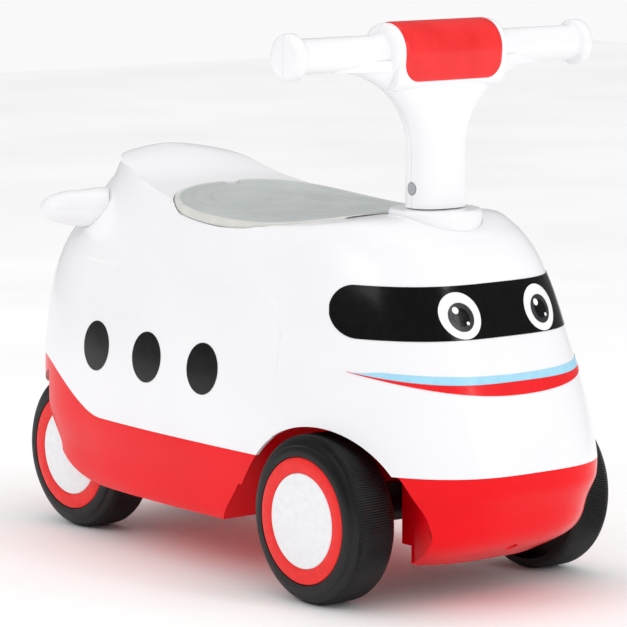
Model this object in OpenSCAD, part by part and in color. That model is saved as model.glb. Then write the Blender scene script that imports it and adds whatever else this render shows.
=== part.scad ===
// Ride-on toy airplane, foot-to-floor, for a toddler.
// Millimetres. +X is the nose, +Y the rider's left, +Z up. The origin is on the
// floor under the middle of the body, midway between nose and tail.

/* [Body] */
// Length of the body from nose to tail
body_len = 550; // [470:5:660]
// Width of the body at the belt, its widest level
body_w = 246; // [215:1:300]
// Height of the top of the backrest above the floor
crest_z = 322; // [290:1:390]
// Height of the belt, where the white and red shells meet
belt_z = 105; // [95:1:115]
// Wall of the two body shells
shell_t = 3; // [2:0.1:4]
// How much higher the belt runs round the tail
belt_rise = 38; // [20:1:45]
// Depth of the sunk side panels that carry the windows
panel_step = 1.5; // [0:0.1:2]

/* [Wheels] */
// Diameter of the wheels
wheel_d = 130; // [108:1:140]
// Width of a wheel from its outer to its inner face
wheel_w = 40; // [30:1:46]
// Distance between the outer faces of the front wheels
front_track = 264; // [240:1:290]
// Distance between the outer faces of the rear wheels
rear_track = 182; // [165:1:190]
// Diameter of the red hub cap
cap_d = 97; // [70:1:100]
// Diameter of the white disc on the hub cap
disc_d = 73; // [50:1:80]
// Diameter of the two steel axles
axle_d = 8; // [6:0.1:10]
// Radial play of a wheel on its axle
wheel_play = 0.1; // [0.05:0.01:0.15]
// Distance from the nose back to the front axle
nose_overhang = 122; // [115:1:150]
// Distance from the tail forward to the rear axle
tail_overhang = 67; // [60:1:90]
// Room between a front tyre and the arch over it
arch_gap = 6; // [5:0.5:20]

/* [Steering] */
// Height of the handlebar's centre line
bar_z = 415; // [385:1:500]
// Overall width of the handlebar
bar_w = 298; // [240:1:360]
// Diameter of the grips
grip_d = 27; // [24:0.5:32]
// Diameter of the stop at each end of the handlebar
stop_d = 36; // [30:0.5:42]
// Diameter of the padded hub in the middle of the handlebar
hub_d = 43; // [38:0.5:50]
// Length of the padded hub
hub_len = 106; // [80:1:120]
// Width of the steering column, left to right
column_w = 48; // [40:1:56]
// Depth of the steering column, front to back
column_d = 37; // [34:1:44]
// Wall of the handlebar's two halves
bar_t = 2.6; // [2:0.1:3.5]
// Diameter of the steel steering rod
rod_d = 14; // [11:0.5:17]
// Radial play of the rod in its two bushes
rod_play = 0.08; // [0.04:0.01:0.1]

/* [Seat] */
// Length of the seat lid
lid_len = 218; // [180:1:240]
// Width of the seat lid
lid_w = 185; // [150:1:190]
// Height of the seat's lowest line
seat_z = 281; // [250:1:330]
// Thickness of the seat lid at its edge
lid_t = 5; // [4:0.5:7]
// Depth of the storage tub below the lid
tub_depth = 105; // [80:1:120]
// Wall of the storage tub
tub_t = 2.5; // [2:0.1:3.5]
// Diameter of the seat lid's hinge pin
pin_d = 4; // [3:0.1:5]

/* [Trim] */
// Thickness of the decals
decal_t = 0.6; // [0.4:0.1:1]
// Radius of the round cabin windows
window_r = 20.2; // [15:0.1:24]
// Radius of the white of an eye
eye_r = 17; // [12:0.5:18]
// How far a tail fin stands out from the body
fin_len = 47; // [30:1:55]

/* [Hidden] */

// Places along the body
nose_x = body_len / 2;
tail_x = -body_len / 2;
steer_x = nose_x - nose_overhang;
rear_x = tail_x + tail_overhang;
wheel_r = wheel_d / 2;
axle_r = axle_d / 2;
rod_r = rod_d / 2;
front_hub_y = front_track / 2;
rear_hub_y = rear_track / 2;
side_room = 4;          // between a tyre's side and the wall of its well
far = body_len;         // reaches past the whole body

// Heights
keel_z = 30;            // underside of the nose bumper
skirt_z = 46;           // lower edge of the side skirts
deck_z = wheel_r + 30;  // roof of the tunnel over the front axle

// Body form: each row is [height, nose, side, tail]. Height runs from -1 at the
// keel through 0 at the belt to 1 at the crest; the others say how far the outline
// has drawn in there, as shares of body_len, half body_w and body_len.
form_rows = [
    [-1.00, 0.104, 0.203, 0.053], [-0.80, 0.051, 0.073, 0.036],
    [-0.40, 0.015, 0.033, 0.020], [0.00, 0.000, 0.000, 0.004],
    [0.20, 0.024, 0.016, 0.000], [0.44, 0.064, 0.073, 0.007],
    [0.62, 0.095, 0.138, 0.020], [0.72, 0.118, 0.195, 0.038],
    [0.80, 0.156, 0.260, 0.058], [0.86, 0.220, 0.317, 0.075],
    [0.92, 0.384, 0.398, 0.095], [0.96, 0.602, 0.512, 0.120],
    [1.00, 0.820, 0.951, 0.158]
];
last_row = len(form_rows) - 1;
nose_square = [2.5, 3.2];   // exponents of the outline ahead of the waist
tail_square = [2.4, 5.0];   // and behind it, at the belt
tail_soft = 2.4;            // the second one at the crest
waist_x = 0.116 * body_len; // where the body is widest

function smooth(t) = t <= 0 ? 0 : t >= 1 ? 1 : t * t * (3 - 2 * t);
function smooth_min(a, b, k) =
    let (h = max(k - abs(a - b), 0) / k) min(a, b) - h * h * k / 4;
function height_z(h) = belt_z + h * (h < 0 ? belt_z - keel_z : crest_z - belt_z);
function z_height(z) = (z - belt_z) / (z < belt_z ? belt_z - keel_z : crest_z - belt_z);

// Rate of change of column k at row i, then a cubic through the rows
function row_rise(i, k) =
    (form_rows[i + 1][k] - form_rows[i][k]) / (form_rows[i + 1][0] - form_rows[i][0]);
function row_rate(i, k) =
    i == 0 ? row_rise(0, k) :
    i == last_row ? row_rise(last_row - 1, k) :
    let (a = form_rows[i][0] - form_rows[i - 1][0], b = form_rows[i + 1][0] - form_rows[i][0])
    (row_rise(i - 1, k) * b + row_rise(i, k) * a) / (a + b);
function row_below(h, i = last_row - 1) = i == 0 || form_rows[i][0] <= h ? i : row_below(h, i - 1);
function draw_in(h_any, k) =
    let (h = min(max(h_any, -1), 1), i = row_below(h),
         gap = form_rows[i + 1][0] - form_rows[i][0], t = (h - form_rows[i][0]) / gap)
    max(0, (2 * t^3 - 3 * t^2 + 1) * form_rows[i][k] + (t^3 - 2 * t^2 + t) * gap * row_rate(i, k)
    + (3 * t^2 - 2 * t^3) * form_rows[i + 1][k] + (t^3 - t^2) * gap * row_rate(i + 1, k));
function front_at(z) = nose_x - body_len * draw_in(z_height(z), 1);
function side_at(z) = body_w / 2 * (1 - draw_in(z_height(z), 2));
function back_at(z) = tail_x + body_len * draw_in(z_height(z), 3);
function waist_at(z) =
    min(waist_x, max(front_at(z) - 0.164 * body_len, (front_at(z) + back_at(z)) / 2));
function tail_exp(z) =
    tail_square[1] + (tail_soft - tail_square[1]) * smooth((z_height(z) - 0.4) / 0.5);

// Height of the seat and backrest surface: a saddle that climbs towards the tail
seat_low_x = 24;
crest_x = tail_x + 0.15 * body_len;
back_kick = 8;              // extra steepness of the backrest behind the lid
seat_rise = (crest_z - seat_z - back_kick) / (crest_x - seat_low_x)^2;
seat_fall = 0.0005;
function seat_at(x, y) =
    seat_z + seat_rise * (x - seat_low_x)^2 - seat_fall * y^2
    + back_kick * smooth((lid_back_x() - 18 - x) / 50) * max(1 - (y / (0.33 * body_w))^2, 0);

// Sunk side panel: 1 inside it, 0 outside it, with a soft edge
panel_top = belt_z + 0.585 * (crest_z - belt_z);
panel_front = steer_x - 48;
panel_r = 36;
function panel_mask(x, z) =
    let (dx = max(x - (panel_front - panel_r), 0), dz = max(z - (panel_top - panel_r), 0))
    smooth((panel_r - sqrt(dx^2 + dz^2)) / 4) * smooth((x - tail_x - 60) / 60);

// A point of the body's skin at level z and angle a, drawn in by t
function skin_point(z, a, t = 0, step = 0) =
    let (lean = max(min((z - belt_z) / 12, 1), -1), zc = max(min(z + t * lean, crest_z), keel_z),
         f = front_at(zc) - t, b = back_at(zc) + t, w = side_at(zc) - t,
         m = waist_at(zc), c = cos(a), s = sin(a),
         n = c >= 0 ? nose_square : [tail_square[0], tail_exp(zc)],
         x = m + (c >= 0 ? f - m : m - b) * sign(c) * pow(abs(c), 2 / n[0]),
         y = sign(s) * pow(abs(s), 2 / n[1]) * (w - step * panel_mask(x, z)))
    [x, y, smooth_min(z, seat_at(x, y) - t, 5)];
// Half width of the body at a place on its side
function half_width(x, z) =
    let (m = waist_at(z), front = x >= m, n = front ? nose_square : [tail_square[0], tail_exp(z)],
         s = min(abs(x - m) / (front ? front_at(z) - m : m - back_at(z)), 1))
    side_at(z) * pow(1 - pow(s, n[0]), 1 / n[1]);

// Height of the belt, which runs level and then climbs round the tail
function belt_at(x) = belt_z + belt_rise * smooth((tail_x + 144 - x) / 115);

// Seat lid
lid_x = steer_x - 149.5;    // middle of the lid
lid_square = 3;
function lid_back_x() = lid_x - lid_len / 2;
function lid_ring(draw, drop, n = 40) =
    [for (i = [0:n - 1])
        let (a = 360 * i / n, c = cos(a), s = sin(a),
             x = lid_x + (lid_len / 2 - draw) * sign(c) * pow(abs(c), 2 / lid_square),
             y = (lid_w / 2 - draw) * sign(s) * pow(abs(s), 2 / lid_square))
        [x, y, seat_at(x, y) - drop]];
function flat_ring(ring, z) = [for (p = ring) [p[0], p[1], z]];
lid_steps = [76, 58, 40, 22, 10];   // rings of the lid's underside, from its edge in
lid_gap = 0.8;              // round the lid
lid_seat_gap = 0.3;         // under the lid
flange_in = 7;              // from the lid's edge in to the tub's flange
flange_t = 2;
tub_in = 15;                // from the lid's edge in to the tub's wall
tub_draft = 8;              // how much the tub narrows to its floor

// Hinge of the seat lid
pin_r = pin_d / 2;
knuckle_r = pin_r + 1.3;
hinge_x = lid_x + lid_len / 2 - knuckle_r - 0.2;
hinge_z = seat_at(hinge_x, 0) - knuckle_r - 0.1;
hinge_half = 50;            // half the length of the hinge
knuckle_cuts = [9, 30];     // where one leaf's knuckles give way to the other's
hinge_pad_z = seat_at(hinge_x - 20, hinge_half) - lid_t + 1.2;
leaf_t = 1.4;

// Steering collar and bushes
collar_r = 36;
function collar_top() = seat_at(steer_x, 0) + 1;
collar_depth = 20;
column_z = collar_top() + 1;
bush_r = rod_r + 4;
fit = 0.3;                  // between pieces that are fixed to each other

// Wells and arches
arch_rx = wheel_r + 19;
arch_rz = wheel_r + arch_gap - 1;
arch_front = wheel_r + 18;
well_room = 4;          // how far the well runs behind the edge of its arch
well_in = front_hub_y - wheel_w - side_room - 22;
rear_well_in = rear_hub_y - wheel_w - side_room;
rear_well_out = rear_hub_y + side_room;
rear_arch_r = wheel_r + 6;
tunnel_half = 40;
stern_len = 139;
stern_h = 118;

// Closed solid through rings of equally many points, capped at both ends
module ring_solid(rings) {
    n = len(rings[0]);
    last = len(rings) - 1;
    function middle(r) = [for (k = [0:2]) let (v = [for (p = r) p[k]]) v * [for (p = r) 1] / n];
    points = concat([for (r = rings) for (p = r) p], [middle(rings[0]), middle(rings[last])]);
    walls = [for (r = [0:last - 1]) for (i = [0:n - 1]) let (a = r * n + i, b = r * n + (i + 1) % n)
        for (f = [[a, b + n, b], [a, a + n, b + n]]) f];
    caps = [for (i = [0:n - 1]) let (j = (i + 1) % n)
        for (f = [[i, j, (last + 1) * n], [last * n + j, last * n + i, (last + 1) * n + 1]]) f];
    polyhedron(points, concat(walls, caps));
}

// Extrudes an outline drawn in X and Z across the body
module across(width) rotate([90, 0, 0]) linear_extrude(width, center = true) children();

// The body's form between two levels, drawn in by t
module body_form(z_low, z_high, t = 0, step = 0, count = 56, rise = 13) {
    levels = [for (z = [z_low:rise:min(z_high, height_z(0.8))]) z];
    top = [for (z = [height_z(0.8) + rise / 2:rise / 2.2:z_high - 1]) z];
    shown = concat(levels, z_high > height_z(0.8) ? concat(top, [z_high]) : [z_high]);
    ring_solid([for (z = shown) [for (i = [0:count - 1]) skin_point(z, 360 * i / count, t, step)]]);
}

// Everything above, or below, the belt
module belt_side(up) across(2 * body_w)
    polygon(concat([for (x = [-far / 2 - 20, each [tail_x + 20:12:tail_x + 148], far / 2 + 20]) [x, belt_at(x)]],
        [[far / 2 + 20, up ? 2 * crest_z : -20], [-far / 2 - 20, up ? 2 * crest_z : -20]]));

// Arch of a front wheel, seen from the side, with the wall of its well added
function arch_points(grow, forward) = concat(
    [for (a = [0:7.5:165]) [steer_x + (forward + grow) * (a < 90 ? cos(a) : 0)
        + (arch_rx + grow) * (a >= 90 ? cos(a) : 0), wheel_r + (arch_rz + grow) * sin(a)]],
    [[steer_x - arch_rx - 12 - grow, wheel_r + 8], [steer_x - arch_rx - 44 - grow, keel_z],
     [steer_x - arch_rx - 60 - grow, -5], [steer_x + forward + grow, -5]]);

// Space for the two front wheels and the axle tunnel between them
module front_wells(grow = 0) {
    for (side = [-1, 1], part = [0, 1]) hull() {
        translate([0, side * (well_in + 10), 0]) across(0.1)
            polygon(arch_points(grow + well_room, arch_front));
        translate([0, side * (part == 0 ? well_in - grow : body_w / 2 - 5), 0]) across(0.1)
            polygon(arch_points(grow + well_room, part == 0 ? wheel_r - 15 : arch_front));
    }
    translate([steer_x - tunnel_half - grow, -front_hub_y, -5])
        cube([2 * (tunnel_half + grow), 2 * front_hub_y, deck_z + 5 + grow]);
}

// Space for the two rear wheels and the channel that holds the axle carrier
module rear_wells(grow = 0) {
    for (side = [-1, 1]) hull() for (x = [rear_x, rear_x - 40], z = [wheel_r, -rear_arch_r])
        translate([x, side * (rear_well_in + rear_well_out) / 2, x == rear_x ? z : min(z, wheel_r - 24)])
            rotate([90, 0, 0])
                cylinder(h = rear_well_out - rear_well_in + 2 * grow, r = rear_arch_r + grow, center = true, $fn = 48);
    translate([rear_x - carrier_w / 2 - fit - grow, -rear_well_out, -5])
        cube([carrier_w + 2 * fit + 2 * grow, 2 * rear_well_out, carrier_top + 5 + grow]);
}

// What lies under the skirts and the upswept stern
module under_body(grow = 0) {
    across(2 * body_w) polygon(concat(
        [for (a = [0:6:90]) [tail_x + stern_len - (stern_len - 2 - grow) * sin(a),
            skirt_z + stern_h - (stern_h - grow) * cos(a)]],
        [[tail_x - 30, skirt_z + stern_h], [tail_x - 30, -10], [steer_x + wheel_r - 14, -10],
         [steer_x + wheel_r - 14, skirt_z + grow]]));
}

carrier_w = 40;
carrier_top = wheel_r + 16;
thrust_gap = 0.5;       // between a wheel and what stops it sliding inward

// Screws that hold the two shells together: [place, direction of the nearest wall]
screw_spots = [
    for (x = [tail_x + 170, steer_x - 138], y = [-1, 1])
        [[x, y * (half_width(x, belt_z) - 30)], [0, y]],
    [[nose_x - 32, 0], [1, 0]]
];

// ---- Body ----

// White shell: body, backrest, steering boss and front arches
module upper_shell() color("white") {
    difference() {
        union() {
            difference() {
                body_form(belt_z - 4, crest_z, 0, panel_step);
                body_form(belt_z - 12, crest_z - shell_t, shell_t, panel_step, 32, 20);
                belt_side(false);
                arch_opening();
            }
            difference() {
                intersection() {
                    body_form(belt_z - 4, crest_z, 0.2, panel_step, 32, 20);
                    union() {
                        lid_ledge();
                        boss();
                        hinge_block();
                        for (spot = screw_spots) screw_post(spot);
                    }
                }
                front_wells(shell_t + fit);
                belt_side(false);
            }
        }
        lid_recess();
        translate([steer_x, 0, 0]) cylinder(h = 2 * crest_z, r = bush_r + fit, $fn = 32);
        translate([steer_x, 0, collar_top() - collar_depth])
            cylinder(h = crest_z, r = collar_r + fit, $fn = 64);
        hinge_pocket();
        for (side = [-1, 1]) tail_fin(side, fit);
    }
}

// The opening that each front wheel has in the skin itself
module arch_opening() for (side = [-1, 1]) hull() for (reach = [0, 40])
    translate([0, side * (body_w / 2 - 40 + reach), 0]) across(0.1) polygon(arch_points(0, arch_front));

// Ledge under the seat lid's edge
module lid_ledge() difference() {
    ring_solid([lid_ring(-3, lid_t + 8), lid_ring(-3, 1)]);
    ring_solid([lid_ring(tub_in - 0.5, lid_t + 9), lid_ring(tub_in - 0.5, 0)]);
}
module lid_recess() {
    low = lid_t + lid_seat_gap;
    ring_solid(concat([for (d = concat(lid_steps, [7, 1.2, -lid_gap])) lid_ring(d, low)], [lid_ring(-lid_gap, -60)]));
    ring_solid(concat([for (d = [60, 40, tub_in + 2, flange_in, flange_in - fit]) lid_ring(d, low + flange_t + fit)],
        [lid_ring(flange_in - fit, 0)]));
    ring_solid([flat_ring(lid_ring(tub_in - 0.5, 0), seat_z - 45), lid_ring(tub_in - 0.5, 0)]);
}
// Boss that takes the collar
module boss() translate([steer_x, 0, collar_top() - collar_depth - 4])
    cylinder(h = 40, r = collar_r + fit + shell_t, $fn = 48);
// Block and pocket for the seat lid's hinge
module hinge_block() translate([hinge_x - 12, -hinge_half - 4, hinge_z - knuckle_r - 8])
    cube([12 + knuckle_r + 4, 2 * hinge_half + 8, 20]);
module hinge_pocket() {
    translate([hinge_x - 30, -hinge_half - 0.8, hinge_z - knuckle_r - 2.5])
        cube([30 + knuckle_r + 0.6, 2 * hinge_half + 1.6, 40]);
    translate([hinge_x - 30, -30.5, hinge_z - knuckle_r - 4.5])
        cube([30 + knuckle_r + 0.6, 61, 20]);
}
// Post that a screw from below runs up into, with a web to the nearest wall
module screw_post(spot) difference() {
    hull() for (reach = [0, 26])
        translate([spot[0][0] + reach * spot[1][0], spot[0][1] + reach * spot[1][1], belt_z + 1 + reach * 0.3])
            cylinder(h = reach == 0 ? 28 : 40, r = reach == 0 ? 6 : 2, $fn = 16);
    translate([spot[0][0], spot[0][1], belt_z]) cylinder(h = 25, r = 2, $fn = 16);
}
// Red shell: skirts, nose bumper, wheel arches and axle tunnel
module lower_shell() color("red") {
    difference() {
        union() {
            difference() {
                union() {
                    difference() {
                        body_form(keel_z, belt_z + belt_rise + 4, 0, panel_step);
                        difference() {
                            body_form(keel_z + shell_t, belt_z + belt_rise + 9, shell_t, panel_step, 32, 20);
                            under_body(shell_t);
                        }
                    }
                    intersection() {
                        body_form(keel_z + 1, belt_z + belt_rise + 5, 1, panel_step, 32, 20);
                        lower_inside();
                    }
                }
                belt_side(true);
            }
            intersection() {
                body_form(keel_z + 2, belt_z + belt_rise + 30, shell_t + fit, panel_step, 32, 20);
                lower_inside();
            }
        }
        under_body(0);
        front_wells(0);
        rear_wells(0);
        arch_opening();
        for (spot = screw_spots) translate([spot[0][0], spot[0][1], 0]) {
            cylinder(h = crest_z, r = 2.2, $fn = 16);
            cylinder(h = belt_z - 14, r = 4.8, $fn = 20);
        }
        translate([steer_x, 0, 0]) cylinder(h = crest_z, r = bush_r + fit, $fn = 32);
    }
}
// Linings of the wells and the posts for the screws
module lower_inside() {
    front_wells(shell_t);
    rear_wells(shell_t);
    for (spot = screw_spots) lower_post(spot);
}
module lower_post(spot) translate([spot[0][0], spot[0][1], keel_z])
    cylinder(h = belt_z + 0.7 - keel_z, r = 7, $fn = 20);

// Screws from below, through the red shell into the white one
module body_screws() color("silver") for (spot = screw_spots)
    translate([spot[0][0], spot[0][1], belt_z - 14]) {
        cylinder(h = 30, r = 1.8, $fn = 32);
        translate([0, 0, -2.6]) cylinder(h = 2.6, r = 4, $fn = 32);
    }

// Stub fin on the side of the tail
fin_x = tail_x + 76;
fin_z = height_z(0.751);
fin_sweep = 32;
module tail_fin(side, grow = 0) {
    base_y = half_width(fin_x, fin_z);
    translate([fin_x, side * base_y, fin_z]) rotate([0, 0, side * (90 + fin_sweep)]) rotate([0, 90, 0]) hull() {
        translate([0, 0, -9]) scale([17 + grow, 21 + grow, 1]) cylinder(h = 4, r = 1, $fn = 32);
        translate([0, 0, 9]) scale([16 + grow, 19 + grow, 1]) cylinder(h = 1, r = 1, $fn = 32);
        translate([0, 0, fin_len - 14]) scale([12.5, 14, 14]) sphere(r = 1, $fn = 22);
    }
}
module left_tail_fin() color("snow") tail_fin(1);
module right_tail_fin() color("snow") tail_fin(-1);

// Storage tub under the seat, hung on its flange
module storage_tub() color("whitesmoke") {
    top = lid_t + lid_seat_gap;
    difference() {
        union() {
            ring_solid([for (d = [[tub_in + 2, flange_t], [flange_in, flange_t], [flange_in, 0], [tub_in + 2, 0]])
                lid_ring(d[0], top + d[1])]);
            ring_solid([flat_ring(lid_ring(tub_in + tub_draft, 0), seat_z - tub_depth),
                lid_ring(tub_in, top + flange_t / 2)]);
        }
        ring_solid([flat_ring(lid_ring(tub_in + tub_draft + tub_t, 0), seat_z - tub_depth + tub_t),
            lid_ring(tub_in + tub_t, top + flange_t), lid_ring(tub_in + tub_t, -5)]);
        translate([hinge_x - 27, -hinge_half - 1.6, hinge_z - knuckle_r - 5])
            cube([60, 2 * hinge_half + 3.2, 40]);
    }
}

// ---- Seat lid and its hinge ----

// Seat lid with a rolled rim, two grooves and a finger gap at the back
module seat_lid() color("silver") difference() {
    union() {
        ring_solid(concat(
            [for (d = lid_steps) lid_ring(d, lid_t - 1.5)],
            [lid_ring(7, lid_t), lid_ring(1.2, lid_t), lid_ring(0, lid_t - 1.4), lid_ring(0, 1.6),
             lid_ring(0.6, 0.5), lid_ring(1.8, 0), lid_ring(4, 0), lid_ring(6, 0.9), lid_ring(12, 0.9)],
            [lid_ring(21, 0.9), lid_ring(22.5, 1.7), lid_ring(25, 1.7), lid_ring(26.5, 0.9)],
            [lid_ring(39, 0.9), lid_ring(40.5, 1.7), lid_ring(43, 1.7), lid_ring(44.5, 0.9)],
            [for (d = [58, 76]) lid_ring(d, 0.9)]
        ));
        translate([hinge_x - 24, -hinge_half, hinge_pad_z]) cube([19.7, 2 * hinge_half, 2]);
    }
    translate([hinge_x, 0, hinge_z]) rotate([90, 0, 0])
        cylinder(h = 2 * hinge_half + 1, r = knuckle_r + 0.4, center = true, $fn = 48);
    translate([hinge_x, -hinge_half - 0.5, hinge_z - 20]) cube([40, 2 * hinge_half + 1, 40]);
    translate([hinge_x - 4.3, -hinge_half - 0.5, hinge_z - 20]) cube([40, 2 * hinge_half + 1, 20]);
    translate([hinge_x - 24.3, -hinge_half - 0.5, hinge_pad_z - 20]) cube([60, 2 * hinge_half + 1, 20]);
    translate([lid_back_x(), 0, 0]) cylinder(h = 2 * crest_z, r = 9, $fn = 40);
}
function knuckle_spans(lid) = lid
    ? [[-hinge_half, -knuckle_cuts[1]], [-knuckle_cuts[0], knuckle_cuts[0]], [knuckle_cuts[1], hinge_half]]
    : [[-knuckle_cuts[1] + 0.3, -knuckle_cuts[0] - 0.3], [knuckle_cuts[0] + 0.3, knuckle_cuts[1] - 0.3]];
module lid_hinge_leaf() color("gray") difference() {
    union() {
        translate([hinge_x - 24, -hinge_half, hinge_pad_z - leaf_t]) cube([20, 2 * hinge_half, leaf_t]);
        for (span = knuckle_spans(true)) {
            translate([hinge_x, span[1], hinge_z]) rotate([90, 0, 0])
                cylinder(h = span[1] - span[0], r = knuckle_r, $fn = 48);
            translate([hinge_x - 4.1, span[0], hinge_pad_z - leaf_t])
                cube([4.1, span[1] - span[0], hinge_z - hinge_pad_z + leaf_t]);
        }
    }
    translate([hinge_x, 0, hinge_z]) rotate([90, 0, 0])
        cylinder(h = 3 * hinge_half, r = pin_r + 0.06, center = true, $fn = 48);
}
module body_hinge_leaf() color("dimgray") difference() {
    plate_z = hinge_z - knuckle_r - 4.5;
    union() {
        translate([hinge_x - 10, -30, plate_z]) cube([10 + knuckle_r, 60, 2]);
        for (span = knuckle_spans(false)) {
            translate([hinge_x, span[1], hinge_z]) rotate([90, 0, 0])
                cylinder(h = span[1] - span[0], r = knuckle_r, $fn = 48);
            translate([hinge_x - knuckle_r, span[0], plate_z + 1])
                cube([2 * knuckle_r, span[1] - span[0], hinge_z - plate_z - 1]);
        }
    }
    translate([hinge_x, 0, hinge_z]) rotate([90, 0, 0])
        cylinder(h = 3 * hinge_half, r = pin_r, center = true, $fn = 48);
}
module hinge_pin() color("silver") translate([hinge_x, 0, hinge_z]) rotate([90, 0, 0])
    cylinder(h = 2 * hinge_half, r = pin_r, center = true, $fn = 48);

// ---- Steering ----

module steering_collar() color("snow") translate([steer_x, 0, collar_top() - collar_depth])
    rotate_extrude($fn = 96) polygon([
        [bush_r, 0], [collar_r, 0], [collar_r, collar_depth - 3], [collar_r - 0.9, collar_depth - 0.9],
        [collar_r - 3, collar_depth], [bush_r, collar_depth]
    ]);
module bush(flange_z, h) rotate_extrude($fn = 64) polygon([
    [rod_r + rod_play, 0], [bush_r, 0], [bush_r, flange_z], [bush_r + 5, flange_z],
    [bush_r + 5, flange_z + 3], [bush_r, flange_z + 3], [bush_r, h], [rod_r + rod_play, h]
]);
boss_floor = collar_top() - collar_depth - 4;
module upper_bush() color("gray") translate([steer_x, 0, boss_floor - 3]) bush(0, collar_depth + 6.5);
module lower_bush() color("gray") translate([steer_x, 0, deck_z]) bush(shell_t, 20);

// Rod from the handlebar down to the front axle carrier
rod_low = wheel_r + axle_r + 4;
rod_high = bar_z - 45;
module steering_rod() color("silver") difference() {
    translate([steer_x, 0, rod_low]) cylinder(h = rod_high - rod_low, r = rod_r, $fn = 64);
    translate([steer_x, 0, bolt_z]) rotate([90, 0, 0]) cylinder(h = rod_d + 2, r = bolt_r + 0.1, center = true, $fn = 32);
}
module rod_clip() color("silver") translate([steer_x, 0, boss_floor - 3 - 0.4 - 2])
    difference() {
        cylinder(h = 2, r = rod_r + 4, $fn = 48);
        translate([0, 0, -1]) cylinder(h = 4, r = rod_r, $fn = 48);
    }

// Handlebar: column, flared web, padded hub, grips and end stops
bar_edge = bar_w / 2;
grip_r = grip_d / 2;
stop_r = stop_d / 2;
hub_r = hub_d / 2;
flare_y = bar_edge - 44;        // where the flare meets the grip
flare_z = bar_z - 75;           // where it leaves the column
function web_half(z) = let (low = column_w / 2, f = max(z - flare_z, 0) / (bar_z - grip_r - flare_z))
    flare_y - (flare_y - low) * sqrt(max(1 - min(f, 1)^2, 0));
function web_depth(y) = grip_r + (column_d / 2 - grip_r) * smooth(1 - (abs(y) - column_w / 2) / (flare_y - column_w / 2));
function web_ring(z, t, n = 32) = [for (i = [0:n - 1])
    let (a = 360 * i / n, c = cos(a), s = sin(a), w = web_half(z) - t,
         y = w * sign(s) * pow(abs(s), 0.8))
    [steer_x + (web_depth(y) - t) * sign(c) * pow(abs(c), 0.85), y, z]];
module bar_turned(points, n) translate([steer_x, 0, bar_z]) rotate([-90, 0, 0])
    rotate_extrude($fn = n) polygon(points);
// Turned outline of one end of the bar, from its middle out
bar_outline = [
    [hub_r, hub_len / 2 - 5], [hub_r + 0.6, hub_len / 2], [grip_r, hub_len / 2 + 4],
    [grip_r, bar_edge - 13], [stop_r - 3, bar_edge - 12], [stop_r, bar_edge - 9],
    [stop_r, bar_edge - 5], [stop_r - 1.5, bar_edge - 1.5], [stop_r - 5, bar_edge]
];
module bar_form() {
    levels = concat([column_z, column_z + 18], [for (z = [flare_z:10:bar_z - grip_r - 8]) z],
        [for (d = [3, 1, 0, -8]) bar_z - grip_r - d]);
    ring_solid([for (z = levels) web_ring(z, 0)]);
    bar_turned(concat([[0, -bar_edge]], [for (k = [8:-1:0]) [bar_outline[k][0], -bar_outline[k][1]]],
        bar_outline, [[0, bar_edge]]), 32);
}
module bar_hollow(t) {
    levels = [column_z + t, flare_z, flare_z + 20, flare_z + 40, bar_z - grip_r - 6, bar_z - grip_r - 1, bar_z - 4];
    ring_solid([for (z = levels) web_ring(z, t, 20)]);
    bar_turned([
        [0, -bar_edge + t], [stop_r - t - 3, -bar_edge + t], [stop_r - t - 3, -bar_edge + 10],
        [grip_r - t, -bar_edge + 13], [grip_r - t, -hub_len / 2 - 2], [hub_r - t, -hub_len / 2 + 3],
        [hub_r - t, hub_len / 2 - 3], [grip_r - t, hub_len / 2 + 2], [grip_r - t, bar_edge - 13],
        [stop_r - t - 3, bar_edge - 10], [stop_r - t - 3, bar_edge - t], [0, bar_edge - t]
    ], 20);
}
// Screws along X, given as [y, z], and the bolt across the column
bar_screws = [for (s = [-1, 1]) each [[s * (bar_edge - 30), bar_z], [s * 26, bar_z - 36]]];
bolt_z = column_z + 15;
bolt_r = 2.4;
module handlebar() {
    difference() {
        union() {
            difference() {
                bar_form();
                bar_hollow(bar_t);
            }
            intersection() {
                bar_form();
                union() {
                    translate([steer_x, 0, column_z]) cylinder(h = rod_high + 4 - column_z, r = rod_r + 3.5, $fn = 24);
                    for (z = [column_z + 1, flare_z, rod_high]) hull() for (w = [-1, 1])
                        translate([steer_x, w * (column_w / 2 - 6), z]) cylinder(h = 2.4, r = 30, $fn = 8);
                    for (p = bar_screws) hull() for (w = [-1, 1])
                        translate([steer_x + w * 20, p[0], p[1]]) rotate([0, 90, 0])
                            cylinder(h = 1, r = 4.6, center = true, $fn = 16);
                }
            }
        }
        translate([steer_x, 0, column_z - 1]) cylinder(h = rod_high + 1 - column_z, r = rod_r + 0.15, $fn = 32);
        for (p = bar_screws) translate([steer_x, p[0], p[1]]) rotate([0, 90, 0]) {
            cylinder(h = 18, r = 2, center = true, $fn = 16);
            translate([0, 0, -40]) cylinder(h = 33, r = 3.8, $fn = 20);
        }
        translate([steer_x, 0, bolt_z]) rotate([90, 0, 0]) {
            cylinder(h = 2 * column_w, r = 2.7, center = true, $fn = 20);
            translate([0, 0, column_w / 2 - 3.4]) cylinder(h = 20, r = 5.2, $fn = 24);
        }
    }
}
module half_space(front) translate([steer_x - (front ? 0 : 200), -300, 0]) cube([200, 600, 2 * bar_z]);
module handlebar_front_half() color("white") intersection() {
    handlebar();
    half_space(true);
}
module handlebar_rear_half() color("white") intersection() {
    handlebar();
    half_space(false);
}
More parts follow.
